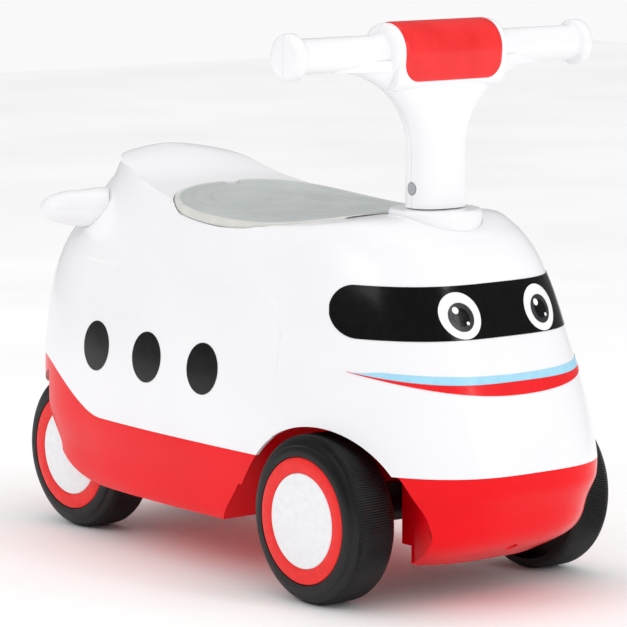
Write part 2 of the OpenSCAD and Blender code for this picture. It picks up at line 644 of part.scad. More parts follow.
module handlebar_screws() color("silver") {
    for (p = bar_screws) translate([steer_x - 7, p[0], p[1]]) rotate([0, 90, 0]) {
        cylinder(h = 15.5, r = 1.7, $fn = 32);
        translate([0, 0, -2.4]) cylinder(h = 2.3, r = 3.4, $fn = 32);
    }
    translate([steer_x, 0, bolt_z]) rotate([90, 0, 0]) {
        cylinder(h = column_w - 7.2, r = bolt_r, center = true, $fn = 32);
        translate([0, 0, column_w / 2 - 3.2]) cylinder(h = 3, r = 4.8, $fn = 32);
    }
}
// Padded cover that wraps the front of the hub
pad_t = 1;
pad_in = 5;
module handlebar_pad() color("red") translate([steer_x, 0, bar_z])
    rotate([90, 0, 0]) rotate([0, 0, -30]) rotate_extrude(angle = 158, $fn = 96)
        translate([hub_r + 0.2, -hub_len / 2 + pad_in]) square([pad_t, hub_len - 2 * pad_in]);

// Carrier that the rod turns, with the front axle through it
beam_half = front_hub_y - wheel_w - thrust_gap;
module front_axle_carrier() color("dimgray") translate([steer_x, 0, wheel_r]) difference() {
    union() {
        rotate([90, 0, 0]) cylinder(h = 2 * beam_half, r = axle_r + 6, center = true, $fn = 64);
        translate([-3, -beam_half + 6, 0]) cube([6, 2 * beam_half - 12, 20]);
        translate([0, 0, -8]) cylinder(h = deck_z - wheel_r - thrust_gap + 8, r = rod_r + 6, $fn = 64);
    }
    rotate([90, 0, 0]) cylinder(h = 3 * beam_half, r = axle_r, center = true, $fn = 64);
    translate([0, 0, rod_low - wheel_r]) cylinder(h = 100, r = rod_r, $fn = 64);
}

// ---- Axles and wheels ----

cap_r = cap_d / 2;
disc_r = disc_d / 2;
cap_depth = 14;         // recess for the hub cap in a wheel's outer face
cap_face = 3;           // thickness of the cap's face
nut_t = 2;
axle_end = cap_depth - nut_t - 4;   // from the hub's outer face in to the axle's end
module axle(hub_y) rotate([90, 0, 0]) cylinder(h = 2 * (hub_y - axle_end), r = axle_r, center = true, $fn = 64);
module push_nuts(hub_y) for (side = [-1, 1])
    translate([0, side * (hub_y - cap_depth + 0.3 + nut_t / 2), 0]) rotate([90, 0, 0]) difference() {
        cylinder(h = nut_t, r = axle_r + 5, center = true, $fn = 48);
        cylinder(h = nut_t + 2, r = axle_r, center = true, $fn = 48);
    }
module front_axle() color("silver") translate([steer_x, 0, wheel_r]) axle(front_hub_y);
module rear_axle() color("silver") translate([rear_x, 0, wheel_r]) axle(rear_hub_y);
module front_push_nuts() color("silver") translate([steer_x, 0, wheel_r]) push_nuts(front_hub_y);
module rear_push_nuts() color("silver") translate([rear_x, 0, wheel_r]) push_nuts(rear_hub_y);

// Block under the tail that holds the rear axle
rear_beam_half = rear_hub_y - wheel_w - thrust_gap;
module rear_axle_carrier() color("firebrick") translate([rear_x, 0, wheel_r]) difference() {
    union() {
        translate([-carrier_w / 2, -rear_beam_half + 6, 0])
            cube([carrier_w, 2 * rear_beam_half - 12, carrier_top - wheel_r]);
        rotate([90, 0, 0]) cylinder(h = 2 * rear_beam_half, r = axle_r + 6, center = true, $fn = 64);
    }
    rotate([90, 0, 0]) cylinder(h = 3 * rear_beam_half, r = axle_r, center = true, $fn = 64);
}

// A wheel stands on its outer face at the origin; Z runs in towards the axle
rim_t = 8;
web_t = 7;
module wheel() rotate_extrude($fn = 128) polygon([
    [axle_r + wheel_play, cap_depth], [cap_r + fit, cap_depth], [cap_r + fit, 0],
    [wheel_r - 12.5, 0], [wheel_r - 8, 1.5], [wheel_r - 7.4, 3.2], [wheel_r - 4, 4.2], [wheel_r - 1.2, 7.5],
    [wheel_r, 11], [wheel_r, wheel_w - 6], [wheel_r - 1.5, wheel_w - 1.5], [wheel_r - 4, wheel_w],
    [wheel_r - rim_t, wheel_w], [wheel_r - rim_t, cap_depth + web_t], [axle_r + 9, cap_depth + web_t],
    [axle_r + 9, wheel_w], [axle_r + wheel_play, wheel_w]
]);
module hub_cap() rotate_extrude($fn = 96) polygon([
    [0, cap_face], [disc_r + 0.15, cap_face], [disc_r + 0.15, 0], [cap_r - 0.8, 0], [cap_r, 0.8],
    [cap_r, cap_depth], [cap_r - 3, cap_depth], [cap_r - 3, cap_face + 2], [0, cap_face + 2]
]);
module hub_disc() rotate_extrude($fn = 96) polygon([
    [0, 0], [disc_r - 0.8, 0], [disc_r, 0.8], [disc_r, cap_face], [0, cap_face]
]);
module at_hub(front, side)
    translate([front ? steer_x : rear_x, side * (front ? front_hub_y : rear_hub_y), wheel_r])
        rotate([side * 90, 0, 0]) children();

module front_left_wheel() color("black") at_hub(true, 1) wheel();
module front_left_hub_cap() color("red") at_hub(true, 1) hub_cap();
module front_left_hub_disc() color("white") at_hub(true, 1) hub_disc();
module front_right_wheel() color("black") at_hub(true, -1) wheel();
module front_right_hub_cap() color("red") at_hub(true, -1) hub_cap();
module front_right_hub_disc() color("white") at_hub(true, -1) hub_disc();
module rear_left_wheel() color("black") at_hub(false, 1) wheel();
module rear_left_hub_cap() color("red") at_hub(false, 1) hub_cap();
module rear_left_hub_disc() color("white") at_hub(false, 1) hub_disc();
module rear_right_wheel() color("black") at_hub(false, -1) wheel();
module rear_right_hub_cap() color("red") at_hub(false, -1) hub_cap();
module rear_right_hub_disc() color("white") at_hub(false, -1) hub_disc();

// ---- Decals ----

decal_gap = 0.05;
// Band round the nose between two heights, each a function of t = 0 (nose) to 1 (end)
module nose_band(reach, low, high, end = 1, rise = 0, high_steps = 4) ring_solid([
    for (u = [-end:end / 22:end + 0.001])
        let (t = min(abs(u), end), z0 = low(t), z1 = high(t), lift = decal_gap + rise, n = high_steps)
        concat([for (k = [0:n]) skin_point(z0 + (z1 - z0) * k / n, u * reach, -lift - decal_t)],
            [for (k = [n:-1:0]) skin_point(z0 + (z1 - z0) * k / n, u * reach, -lift)])
]);
// Disc on a surface; place(u, v, lift) is the point at u, v across it
module skin_disc(r, place, n = 28) ring_solid([
    for (k = [[0.5, 0], [1, 0], [1, 1], [0.5, 1]])
        [for (i = [0:n - 1]) place(k[0] * r * cos(360 * i / n), k[0] * r * sin(360 * i / n), k[1] * decal_t)]
]);
function nose_at(y, z, lift) =
    let (zc = z - lift, m = waist_at(zc), f = front_at(zc) + lift, w = side_at(zc) + lift)
    [m + (f - m) * pow(max(1 - pow(abs(y) / w, nose_square[1]), 0), 1 / nose_square[0]), y, z];

visor_reach = 63.8;
visor_low = height_z(0.456);
visor_high = height_z(0.636);
visor_mid = (visor_low + visor_high) / 2;
function visor_half(t) = (visor_high - visor_low) / 2 * sqrt(1 - pow(max(t - 0.84, 0) / 0.162, 2));
module visor_decal() color("black")
    nose_band(visor_reach, function(t) visor_mid - visor_half(t), function(t) visor_mid + visor_half(t));

eye_y = 39.6;
eye_z = height_z(0.537);
module eye_decals() color("white") for (side = [-1, 1])
    skin_disc(eye_r, function(u, v, lift) nose_at(side * eye_y - u, eye_z + v, 0.95 + lift));
module pupil_decals() color("black") for (side = [-1, 1])
    skin_disc(0.62 * eye_r, function(u, v, lift) nose_at(side * eye_y - u, eye_z - 1 + v, 1.7 + lift), 24);

stripe_reach = 60.7;
stripe_top = height_z(0.3065);
stripe_low = height_z(0.2627);
function stripe_high(t) = stripe_top + 8.5 * t^2;
module red_stripe_decal() color("red")
    nose_band(stripe_reach, function(t) stripe_low + 18 * t^1.2, function(t) stripe_high(t) + 0.001, 0.96, high_steps = 1);
module blue_stripe_decal() color("lightblue") nose_band(stripe_reach, function(t) stripe_high(t) + 0.3,
    function(t) stripe_high(t) + 0.5 + (5 + 5 * t - 8.5 * t^2) * smooth((0.94 - t) / 0.2), 0.92, high_steps = 1);

window_z = height_z(0.2673);
window_x = [for (k = [0, 1, 2]) tail_x + 133.5 + 76.5 * k];
module window_decals() color("black") for (side = [-1, 1], x = window_x)
    skin_disc(window_r, function(u, v, lift) [x + side * u,
        side * (half_width(x + side * u, window_z + v) + 0.15 + lift
            - panel_step * panel_mask(x + side * u, window_z + v)), window_z + v]);

upper_shell();
lower_shell();
left_tail_fin();
right_tail_fin();
storage_tub();
seat_lid();
lid_hinge_leaf();
body_hinge_leaf();
hinge_pin();
steering_collar();
upper_bush();
lower_bush();
body_screws();
visor_decal();
eye_decals();
pupil_decals();
red_stripe_decal();
blue_stripe_decal();
window_decals();
handlebar_front_half();
handlebar_rear_half();
handlebar_pad();
handlebar_screws();
steering_rod();
rod_clip();
front_axle_carrier();
front_axle();
front_push_nuts();
rear_axle_carrier();
rear_axle();
rear_push_nuts();
front_left_wheel();
front_left_hub_cap();
front_left_hub_disc();
front_right_wheel();
front_right_hub_cap();
front_right_hub_disc();
rear_left_wheel();
rear_left_hub_cap();
rear_left_hub_disc();
rear_right_wheel();
rear_right_hub_cap();
rear_right_hub_disc();
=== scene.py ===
# %% [markdown]
# # A ride-on toy airplane
# A toddler sits on the grey seat, holds the bar and pushes along with both feet.
# The toy is a handful of large injection moulded shells, four wheels on two steel
# axles, and printed film for the face and windows.
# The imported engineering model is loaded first. It fixes every size and every joint,
# so the looks are built round it and never the other way round.

# %% Load the fixed model
import math

import bpy
from mathutils import Matrix, Vector


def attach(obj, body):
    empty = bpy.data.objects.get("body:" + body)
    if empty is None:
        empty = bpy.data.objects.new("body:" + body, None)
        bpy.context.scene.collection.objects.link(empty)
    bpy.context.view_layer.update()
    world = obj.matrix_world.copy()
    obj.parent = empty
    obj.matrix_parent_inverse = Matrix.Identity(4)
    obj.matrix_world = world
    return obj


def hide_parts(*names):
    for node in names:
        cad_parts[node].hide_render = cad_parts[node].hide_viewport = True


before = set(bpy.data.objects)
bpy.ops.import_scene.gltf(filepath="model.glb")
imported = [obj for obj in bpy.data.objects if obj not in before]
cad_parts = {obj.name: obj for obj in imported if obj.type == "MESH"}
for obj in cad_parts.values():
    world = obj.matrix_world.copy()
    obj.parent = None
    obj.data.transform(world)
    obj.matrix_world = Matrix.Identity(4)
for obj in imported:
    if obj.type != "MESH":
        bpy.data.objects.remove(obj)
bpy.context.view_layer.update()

# %% [markdown]
# ## The camera and the light
# A long lens from three metres keeps the toy's proportions honest, as a catalogue
# picture does. It is placed by simple arithmetic: a direction and a distance.

# %% Camera
aim = Vector((0.004, 0.0, 0.1955))
turn, tilt, reach = math.radians(51.19), math.radians(7.92), 3.0045
toward = Vector((math.sin(turn) * math.cos(tilt), -math.cos(turn) * math.cos(tilt), math.sin(tilt)))
bpy.ops.object.select_all(action="DESELECT")
bpy.ops.object.camera_add(location=aim + toward * reach)
camera = bpy.context.object
camera.rotation_euler = (-toward).to_track_quat("-Z", "Y").to_euler()
camera.data.sensor_width, camera.data.lens = 36, 215.3
camera.data.clip_start, camera.data.clip_end = 0.1, 60
bpy.context.scene.camera = camera
print("camera at", [round(v, 3) for v in camera.location])

# %% [markdown]
# Glossy white plastic on white needs large, soft lights. Three wide panels stand
# where a photographer's softboxes would, and a bright even surround fills the rest.

# %% Lights
def softbox(name, place, size, power):
    bpy.ops.object.light_add(type="AREA", location=place)
    lamp = bpy.context.object
    lamp.name = name
    lamp.data.shape, lamp.data.energy = "RECTANGLE", power
    lamp.data.size, lamp.data.size_y = size
    lamp.rotation_euler = (aim - Vector(place)).to_track_quat("-Z", "Y").to_euler()
    return lamp


softbox("key_softbox", (-0.2, -2.3, 1.9), (1.5, 1.0), 7)
softbox("nose_softbox", (2.4, 0.5, 1.2), (0.35, 1.6), 9)
softbox("top_softbox", (-0.2, 0.3, 2.6), (1.8, 1.2), 4)

# %% [markdown]
# ## Shared helpers
# Each piece starts as a primitive, is shaped in edit mode, and ends as a closed mesh
# in metres. The drawing numbers are millimetres, and one constant converts them.

# %% Selection and size
MM = 0.001


def clear():
    """Leaves edit mode and selects nothing, so that the next tool acts on one piece."""
    if bpy.context.object and bpy.context.object.mode != "OBJECT":
        bpy.ops.object.mode_set(mode="OBJECT")
    bpy.ops.object.select_all(action="DESELECT")


def tidy(piece, merge=0.002):
    """Merges doubles and turns every face outwards."""
    clear()
    bpy.context.view_layer.objects.active = piece
    piece.select_set(True)
    bpy.ops.object.mode_set(mode="EDIT")
    bpy.ops.mesh.select_all(action="SELECT")
    bpy.ops.mesh.remove_doubles(threshold=merge * MM)
    bpy.ops.mesh.normals_make_consistent(inside=False)
    bpy.ops.object.mode_set(mode="OBJECT")
    return piece


# %% [markdown]
# The body is a moulded free form, so its skin is wrapped over a grid: a flat grid is
# added, its vertices are moved onto the rings of the form, and the grid's two long
# edges are merged into one seam. Rings that shrink to one point close the ends.

# %% Skin through rings
def middle(ring):
    return [tuple(sum(p[k] for p in ring) / len(ring) for k in range(3))] * len(ring)


def wrap(name, rings):
    rings = [middle(rings[0])] + list(rings) + [middle(rings[-1])]
    clear()
    bpy.ops.mesh.primitive_grid_add(x_subdivisions=len(rings[0]), y_subdivisions=len(rings) - 1)
    piece = bpy.context.object
    piece.name = piece.data.name = name
    places = [MM * v for ring in rings for p in [*ring, ring[0]] for v in p]
    piece.data.vertices.foreach_set("co", places)
    return tidy(piece)


# %% [markdown]
# Flat outlines are pushed across the body like dough through a cutter, and
# soft-cornered rooms such as the wheel wells are the hull round a few outlines.

# %% Cutters
def slab(name, outline, near, far):
    """A closed outline of (x, z) points, extruded from y = near to y = far."""
    clear()
    bpy.ops.mesh.primitive_circle_add(vertices=len(outline), fill_type="NGON")
    piece = bpy.context.object
    piece.name = name
    for vertex, (x, z) in zip(piece.data.vertices, outline):
        vertex.co = (x * MM, near * MM, z * MM)
    bpy.ops.object.mode_set(mode="EDIT")
    bpy.ops.mesh.select_all(action="SELECT")
    bpy.ops.mesh.extrude_region_move(TRANSFORM_OT_translate={"value": (0, (far - near) * MM, 0)})
    return tidy(piece)


def hull(name, points):
    clear()
    bpy.ops.mesh.primitive_circle_add(vertices=len(points))
    piece = bpy.context.object
    piece.name = name
    for vertex, point in zip(piece.data.vertices, points):
        vertex.co = [v * MM for v in point]
    bpy.ops.object.mode_set(mode="EDIT")
    bpy.ops.mesh.select_all(action="SELECT")
    bpy.ops.mesh.convex_hull(join_triangles=False)
    return tidy(piece)


def block(name, low, high):
    return slab(name, [(low[0], low[2]), (high[0], low[2]), (high[0], high[2]), (low[0], high[2])],
                low[1], high[1])


def carve(piece, tool, how="DIFFERENCE"):
    """Cuts the tool from the piece, or joins or intersects them, and throws the tool away."""
    clear()
    bpy.context.view_layer.objects.active = piece
    piece.select_set(True)
    cut = piece.modifiers.new("cut", "BOOLEAN")
    cut.operation, cut.solver, cut.object = how, "MANIFOLD", tool
    bpy.ops.object.modifier_apply(modifier=cut.name)
    if not piece.data.polygons:
        raise RuntimeError(f"nothing is left of {piece.name} after {tool.name}")
    bpy.data.objects.remove(tool)
    return piece


# %% [markdown]
# Round parts are turned: a closed half section is spun once round its axis, which is
# how a lathe, or the mould for a wheel, is cut.

# %% Turned pieces
def turned(name, section, steps, place=None):
    """A closed section of (radius, height) points spun round Z, then put in its place."""
    clear()
    bpy.ops.mesh.primitive_circle_add(vertices=len(section))
    piece = bpy.context.object
    piece.name = piece.data.name = name
    for vertex, (radius, height) in zip(piece.data.vertices, section):
        vertex.co = (radius * MM, 0, height * MM)
    bpy.ops.object.mode_set(mode="EDIT")
    bpy.ops.mesh.select_all(action="SELECT")
    bpy.ops.mesh.spin(steps=steps, angle=2 * math.pi, center=(0, 0, 0), axis=(0, 0, 1))
    bpy.ops.object.mode_set(mode="OBJECT")
    if place:
        piece.data.transform(place)
    return tidy(piece)


def along_y(x, z):
    """Puts a turned piece's axis along Y, through x and z."""
    return Matrix.Translation((x * MM, 0, z * MM)) @ Matrix.Rotation(-math.pi / 2, 4, "X")


def post(name, x, y, low, high, radius, steps=32):
    return turned(name, [(0, low), (radius, low), (radius, high), (0, high)], steps,
                  Matrix.Translation((x * MM, y * MM, 0)))


# %% [markdown]
# Every finished piece is shaded smooth up to a crease angle, takes its finish, rides
# on a body of the model and says which engineering nodes it stands for.

# %% Hand a piece over
def hand_over(piece, finish, body, slot, nodes=(), crease=32):
    clear()
    piece.select_set(True)
    bpy.context.view_layer.objects.active = piece
    bpy.ops.object.shade_smooth_by_angle(angle=math.radians(crease))
    if finish:
        piece.data.materials.clear()
        piece.data.materials.append(finish)
    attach(piece, body)
    if nodes:
        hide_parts(*nodes)
    print(f"{piece.name}: {len(piece.data.polygons)} faces, on {body}, for {list(nodes)}")
    return piece


# %% [markdown]
# ## Finishes
# One function turns a paint-chart colour into the linear numbers that light needs,
# and one function adds a node. Patterns use Object coordinates, which are metres, so
# a pattern of s millimetres has the scale 1000 / s.

# %% Colour and nodes
def chart(code, alpha=1.0):
    """An sRGB hex value as linear colour."""
    parts = [int(code[k:k + 2], 16) / 255 for k in (1, 3, 5)]
    return (*[v / 12.92 if v <= 0.04045 else ((v + 0.055) / 1.055) ** 2.4 for v in parts], alpha)


def add(tree, kind, settings=None, links=None):
    """Adds one node, with its settings (properties or sockets) and its links."""
    node = tree.nodes.new(kind)
    for key, value in (settings or {}).items():
        if isinstance(key, str) and hasattr(node, key):
            setattr(node, key, value)
        else:
            node.inputs[key].default_value = value
    for key, source in (links or {}).items():
        tree.links.new(source, node.inputs[key])
    return node


def finish(name, shader):
    """A new material with its own shader, named as the real finish."""
    material = bpy.data.materials.new(name)
    material.use_nodes = True
    tree = material.node_tree
    tree.nodes.clear()
    surface = add(tree, "ShaderNodeBsdfPrincipled", shader)
    add(tree, "ShaderNodeOutputMaterial", {}, {"Surface": surface.outputs[0]})
    place = add(tree, "ShaderNodeTexCoord").outputs["Object"]
    return material, tree, surface, place


def two_tone(ramp, low, high, start=0.35, end=0.65):
    """Sets a colour ramp's two stops."""
    stops = ramp.color_ramp.elements
    stops[0].position, stops[0].color = start, low
    stops[1].position, stops[1].color = end, high


# %% [markdown]
# ### Moulded polypropylene, white and red
# The shells are injection moulded polypropylene from a polished mould. It gives a
# soft gloss, long lazy waves where the wall shrank as it cooled, and a faint
# orange-peel under them. Scuffs from small shoes make the gloss uneven.

# %% Glossy shells
def glossy_shell(name, pale, deep, sheen_low, sheen_high, wave, specular=0.5):
    material, tree, surface, place = finish(name, {"IOR": 1.49, "Specular IOR Level": specular})
    # Pigment settles unevenly over a hand's width, so the colour drifts by one shade.
    drift = add(tree, "ShaderNodeTexNoise", {"Scale": 1000 / 90, "Detail": 2.0, "Roughness": 0.4},
                {"Vector": place})
    tone = add(tree, "ShaderNodeValToRGB", {}, {"Fac": drift.outputs["Fac"]})
    two_tone(tone, chart(deep), chart(pale))
    tree.links.new(tone.outputs["Color"], surface.inputs["Base Color"])
    # Handling leaves patches of slightly duller gloss, a few centimetres across.
    wear = add(tree, "ShaderNodeTexNoise", {"Scale": 1000 / 28, "Detail": 5.0, "Roughness": 0.62},
               {"Vector": place})
    gloss = add(tree, "ShaderNodeMapRange", {"From Min": 0.3, "From Max": 0.7, "To Min": sheen_low,
                                             "To Max": sheen_high},
                {"Value": wear.outputs["Fac"]})
    tree.links.new(gloss.outputs["Result"], surface.inputs["Roughness"])
    # Shrinkage waves 35 mm long, and orange peel 1.6 mm wide; the peel is drawn a
    # little coarser than the real one so that it still shows.
    shrink = add(tree, "ShaderNodeTexNoise", {"Scale": 1000 / 35, "Detail": 1.0}, {"Vector": place})
    peel = add(tree, "ShaderNodeTexNoise", {"Scale": 1000 / 1.6, "Detail": 2.0}, {"Vector": place})
    waves = add(tree, "ShaderNodeBump", {"Strength": 0.6, "Distance": wave * MM},
                {"Height": shrink.outputs["Fac"]})
    skin = add(tree, "ShaderNodeBump", {"Strength": 0.5, "Distance": 0.004 * MM},
               {"Height": peel.outputs["Fac"], "Normal": waves.outputs["Normal"]})
    tree.links.new(skin.outputs["Normal"], surface.inputs["Normal"])
    return material


white_shell = glossy_shell("white_moulded_polypropylene", "#F5F5F7", "#F2F2F5", 0.20, 0.27, 0.12)
red_shell = glossy_shell("red_moulded_polypropylene", "#F20012", "#EA0010", 0.18, 0.25, 0.12, 0.22)
tub_white = glossy_shell("plain_white_tub_polypropylene", "#DCDDE0", "#D2D3D7", 0.38, 0.5, 0.12)
print("shell finishes:", white_shell.name, red_shell.name, tub_white.name)

# %% [markdown]
# ### Even moulded plastic
# Small moulded parts, nylon or polypropylene, are even and half matt. One recipe
# serves them all, in their own colours.

# %% Half-matt moulding
def nylon(name, base, light):
    material, tree, surface, place = finish(name, {"IOR": 1.53})
    cloud = add(tree, "ShaderNodeTexNoise", {"Scale": 1000 / 12, "Detail": 3.0}, {"Vector": place})
    tone = add(tree, "ShaderNodeValToRGB", {}, {"Fac": cloud.outputs["Fac"]})
    two_tone(tone, chart(base), chart(light))
    tree.links.new(tone.outputs["Color"], surface.inputs["Base Color"])
    rough = add(tree, "ShaderNodeMapRange", {"From Min": 0.3, "From Max": 0.7, "To Min": 0.42,
                                             "To Max": 0.56},
                {"Value": cloud.outputs["Fac"]})
    tree.links.new(rough.outputs["Result"], surface.inputs["Roughness"])
    grain = add(tree, "ShaderNodeTexNoise", {"Scale": 1000 / 0.6, "Detail": 2.0}, {"Vector": place})
    bump = add(tree, "ShaderNodeBump", {"Strength": 0.3, "Distance": 0.02 * MM},
               {"Height": grain.outputs["Fac"]})
    tree.links.new(bump.outputs["Normal"], surface.inputs["Normal"])
    return material


# %% [markdown]
# ### Grained seat
# The seat is the same plastic from a mould that was spark eroded, which leaves a
# fine even grain and takes the shine off, so that a child doesn't slide about.

# %% Seat grain
seat_grey, tree, surface, place = finish("spark_grained_grey_polypropylene", {"IOR": 1.49})
rub = add(tree, "ShaderNodeTexNoise", {"Scale": 1000 / 45, "Detail": 4.0, "Roughness": 0.55},
          {"Vector": place})
tone = add(tree, "ShaderNodeValToRGB", {}, {"Fac": rub.outputs["Fac"]})
two_tone(tone, chart("#B9BEBD"), chart("#C1C5C4"))
tree.links.new(tone.outputs["Color"], surface.inputs["Base Color"])
polish = add(tree, "ShaderNodeMapRange", {"From Min": 0.3, "From Max": 0.7, "To Min": 0.46,
                                          "To Max": 0.6},
             {"Value": rub.outputs["Fac"]})
tree.links.new(polish.outputs["Result"], surface.inputs["Roughness"])
# Spark pits are about 0.3 mm; they are drawn at 0.8 mm so that they show.
pits = add(tree, "ShaderNodeTexVoronoi", {"Scale": 1000 / 0.8}, {"Vector": place})
grain = add(tree, "ShaderNodeBump", {"Strength": 0.5, "Distance": 0.05 * MM},
            {"Height": pits.outputs["Distance"]})
tree.links.new(grain.outputs["Normal"], surface.inputs["Normal"])
# The rim's paler grey is painted highlight: the light that the rounded rim catches is painted into its colour.
rim_painted_highlight_grey = nylon("painted_highlight_rim_polypropylene", "#D3D3CE", "#DBDAD5")
print("seat finish:", seat_grey.name, "and its rim", rim_painted_highlight_grey.name)

# %% [markdown]
# ### Satin black wheels
# The wheels are one-piece black polyethylene with a fine matt mould finish. Floors
# polish the tread and leave a little pale dust in it.

# %% Wheel plastic
wheel_black, tree, surface, place = finish("satin_black_polyethylene",
                                           {"IOR": 1.51, "Specular IOR Level": 0.35})
dust = add(tree, "ShaderNodeTexNoise", {"Scale": 1000 / 14, "Detail": 6.0, "Roughness": 0.65},
           {"Vector": place})
tone = add(tree, "ShaderNodeValToRGB", {}, {"Fac": dust.outputs["Fac"]})
two_tone(tone, chart("#0C0C0D"), chart("#161618"), 0.4, 0.75)
tree.links.new(tone.outputs["Color"], surface.inputs["Base Color"])
satin = add(tree, "ShaderNodeMapRange", {"From Min": 0.3, "From Max": 0.7, "To Min": 0.34,
                                         "To Max": 0.5},
            {"Value": dust.outputs["Fac"]})
tree.links.new(satin.outputs["Result"], surface.inputs["Roughness"])
matt = add(tree, "ShaderNodeTexNoise", {"Scale": 1000 / 0.9, "Detail": 2.0}, {"Vector": place})
tooth = add(tree, "ShaderNodeBump", {"Strength": 0.35, "Distance": 0.03 * MM},
            {"Height": matt.outputs["Fac"]})
tree.links.new(tooth.outputs["Normal"], surface.inputs["Normal"])

# %% [markdown]
# ### Printed film
# The face, windows and stripes are screen printed vinyl film, a quarter of a
# millimetre thick. Ink under a clear coat is smoother and glossier than the shell,
# and the film shows small soft ripples where it was pulled round the nose.

# %% Films
def printed_film(name, ink, worn, gloss_low, gloss_high):
    material, tree, surface, place = finish(name, {"IOR": 1.5, "Specular IOR Level": 0.3,
                                                   "Coat Weight": 0.08, "Coat Roughness": 0.06})
    mottle = add(tree, "ShaderNodeTexNoise", {"Scale": 1000 / 6, "Detail": 3.0}, {"Vector": place})
    tone = add(tree, "ShaderNodeValToRGB", {}, {"Fac": mottle.outputs["Fac"]})
    two_tone(tone, chart(ink), chart(worn))
    tree.links.new(tone.outputs["Color"], surface.inputs["Base Color"])
    gloss = add(tree, "ShaderNodeMapRange", {"From Min": 0.3, "From Max": 0.7, "To Min": gloss_low,
                                             "To Max": gloss_high},
                {"Value": mottle.outputs["Fac"]})
    tree.links.new(gloss.outputs["Result"], surface.inputs["Roughness"])
    ripple = add(tree, "ShaderNodeTexNoise", {"Scale": 1000 / 18, "Detail": 1.5}, {"Vector": place})
    pull = add(tree, "ShaderNodeBump", {"Strength": 0.4, "Distance": 0.12 * MM},
               {"Height": ripple.outputs["Fac"]})
    tree.links.new(pull.outputs["Normal"], surface.inputs["Normal"])
    return material


black_film = printed_film("black_printed_film", "#050507", "#08080A", 0.16, 0.24)
white_film = printed_film("white_printed_film", "#F7F7F7", "#F0F0F1", 0.25, 0.35)
red_film = printed_film("red_printed_film", "#F21A22", "#EA141C", 0.25, 0.35)
blue_film = printed_film("pale_blue_printed_film", "#A9DDF3", "#A0D6EF", 0.25, 0.35)
iris_film = printed_film("dark_grey_printed_film", "#3A3A3E", "#2E2E32", 0.25, 0.35)
cap_red = printed_film("red_hub_cap_abs", "#F02420", "#E81E1B", 0.3, 0.42)
cap_white = printed_film("white_hub_disc_abs", "#F1F2F4", "#EBECEF", 0.3, 0.42)
print("films:", [m.name for m in (black_film, white_film, red_film, blue_film, iris_film)])

# %% [markdown]
# ### Soft vinyl pad, zinc-plated steel, grey nylon
# The pad is calendered vinyl over thin foam, with a leather-like grain. Screws, rod
# and axles are zinc plated, which is bright with a faint blue-grey bloom. The
# bushes, hinge and carrier are nylon, slightly translucent and even.

# %% Vinyl
pad_vinyl, tree, surface, place = finish("red_calendered_vinyl",
                                         {"IOR": 1.52, "Specular IOR Level": 0.4,
                                          "Coat Weight": 0.25, "Coat Roughness": 0.22})
cloud = add(tree, "ShaderNodeTexNoise", {"Scale": 1000 / 25, "Detail": 3.0}, {"Vector": place})
tone = add(tree, "ShaderNodeValToRGB", {}, {"Fac": cloud.outputs["Fac"]})
two_tone(tone, chart("#EC1418"), chart("#F61E20"))
tree.links.new(tone.outputs["Color"], surface.inputs["Base Color"])
shine = add(tree, "ShaderNodeMapRange", {"From Min": 0.3, "From Max": 0.7, "To Min": 0.34,
                                         "To Max": 0.46},
            {"Value": cloud.outputs["Fac"]})
tree.links.new(shine.outputs["Result"], surface.inputs["Roughness"])
# The grain's cells are about 0.9 mm across.
cells = add(tree, "ShaderNodeTexVoronoi", {"feature": "DISTANCE_TO_EDGE", "Scale": 1000 / 0.9},
            {"Vector": place})
creases = add(tree, "ShaderNodeTexNoise", {"Scale": 1000 / 9, "Detail": 2.0}, {"Vector": place})
soft = add(tree, "ShaderNodeBump", {"Strength": 0.5, "Distance": 0.25 * MM},
           {"Height": creases.outputs["Fac"]})
leather = add(tree, "ShaderNodeBump", {"Strength": 0.35, "Distance": 0.05 * MM},
              {"Height": cells.outputs["Distance"], "Normal": soft.outputs["Normal"]})
tree.links.new(leather.outputs["Normal"], surface.inputs["Normal"])

# %% Steel
steel, tree, surface, place = finish("zinc_plated_steel", {"Metallic": 1.0})
bloom = add(tree, "ShaderNodeTexNoise", {"Scale": 1000 / 7, "Detail": 5.0}, {"Vector": place})
tone = add(tree, "ShaderNodeValToRGB", {}, {"Fac": bloom.outputs["Fac"]})
two_tone(tone, chart("#B8BCC2"), chart("#D2D4D6"))
tree.links.new(tone.outputs["Color"], surface.inputs["Base Color"])
haze = add(tree, "ShaderNodeMapRange", {"From Min": 0.3, "From Max": 0.7, "To Min": 0.22,
                                        "To Max": 0.42},
           {"Value": bloom.outputs["Fac"]})
tree.links.new(haze.outputs["Result"], surface.inputs["Roughness"])
drawn = add(tree, "ShaderNodeTexNoise", {"Scale": 1000 / 0.7, "Detail": 1.0}, {"Vector": place})
lines = add(tree, "ShaderNodeBump", {"Strength": 0.25, "Distance": 0.02 * MM},
            {"Height": drawn.outputs["Fac"]})
tree.links.new(lines.outputs["Normal"], surface.inputs["Normal"])

# %% Nylon, in three colours
grey_nylon = nylon("grey_moulded_nylon", "#6E7174", "#777A7D")
black_nylon = nylon("black_moulded_nylon", "#141415", "#1B1B1D")
red_nylon = nylon("red_moulded_nylon", "#C20D1C", "#CB1322")
print("small-part finishes ready")

# %% [markdown]
# ## The form of the body
# The outline of the body is a rounded rectangle in plan that draws in as it rises.
# Each row below gives, for one height, how far the nose, the sides and the tail have
# drawn in. A smooth curve through the rows gives every level between them.

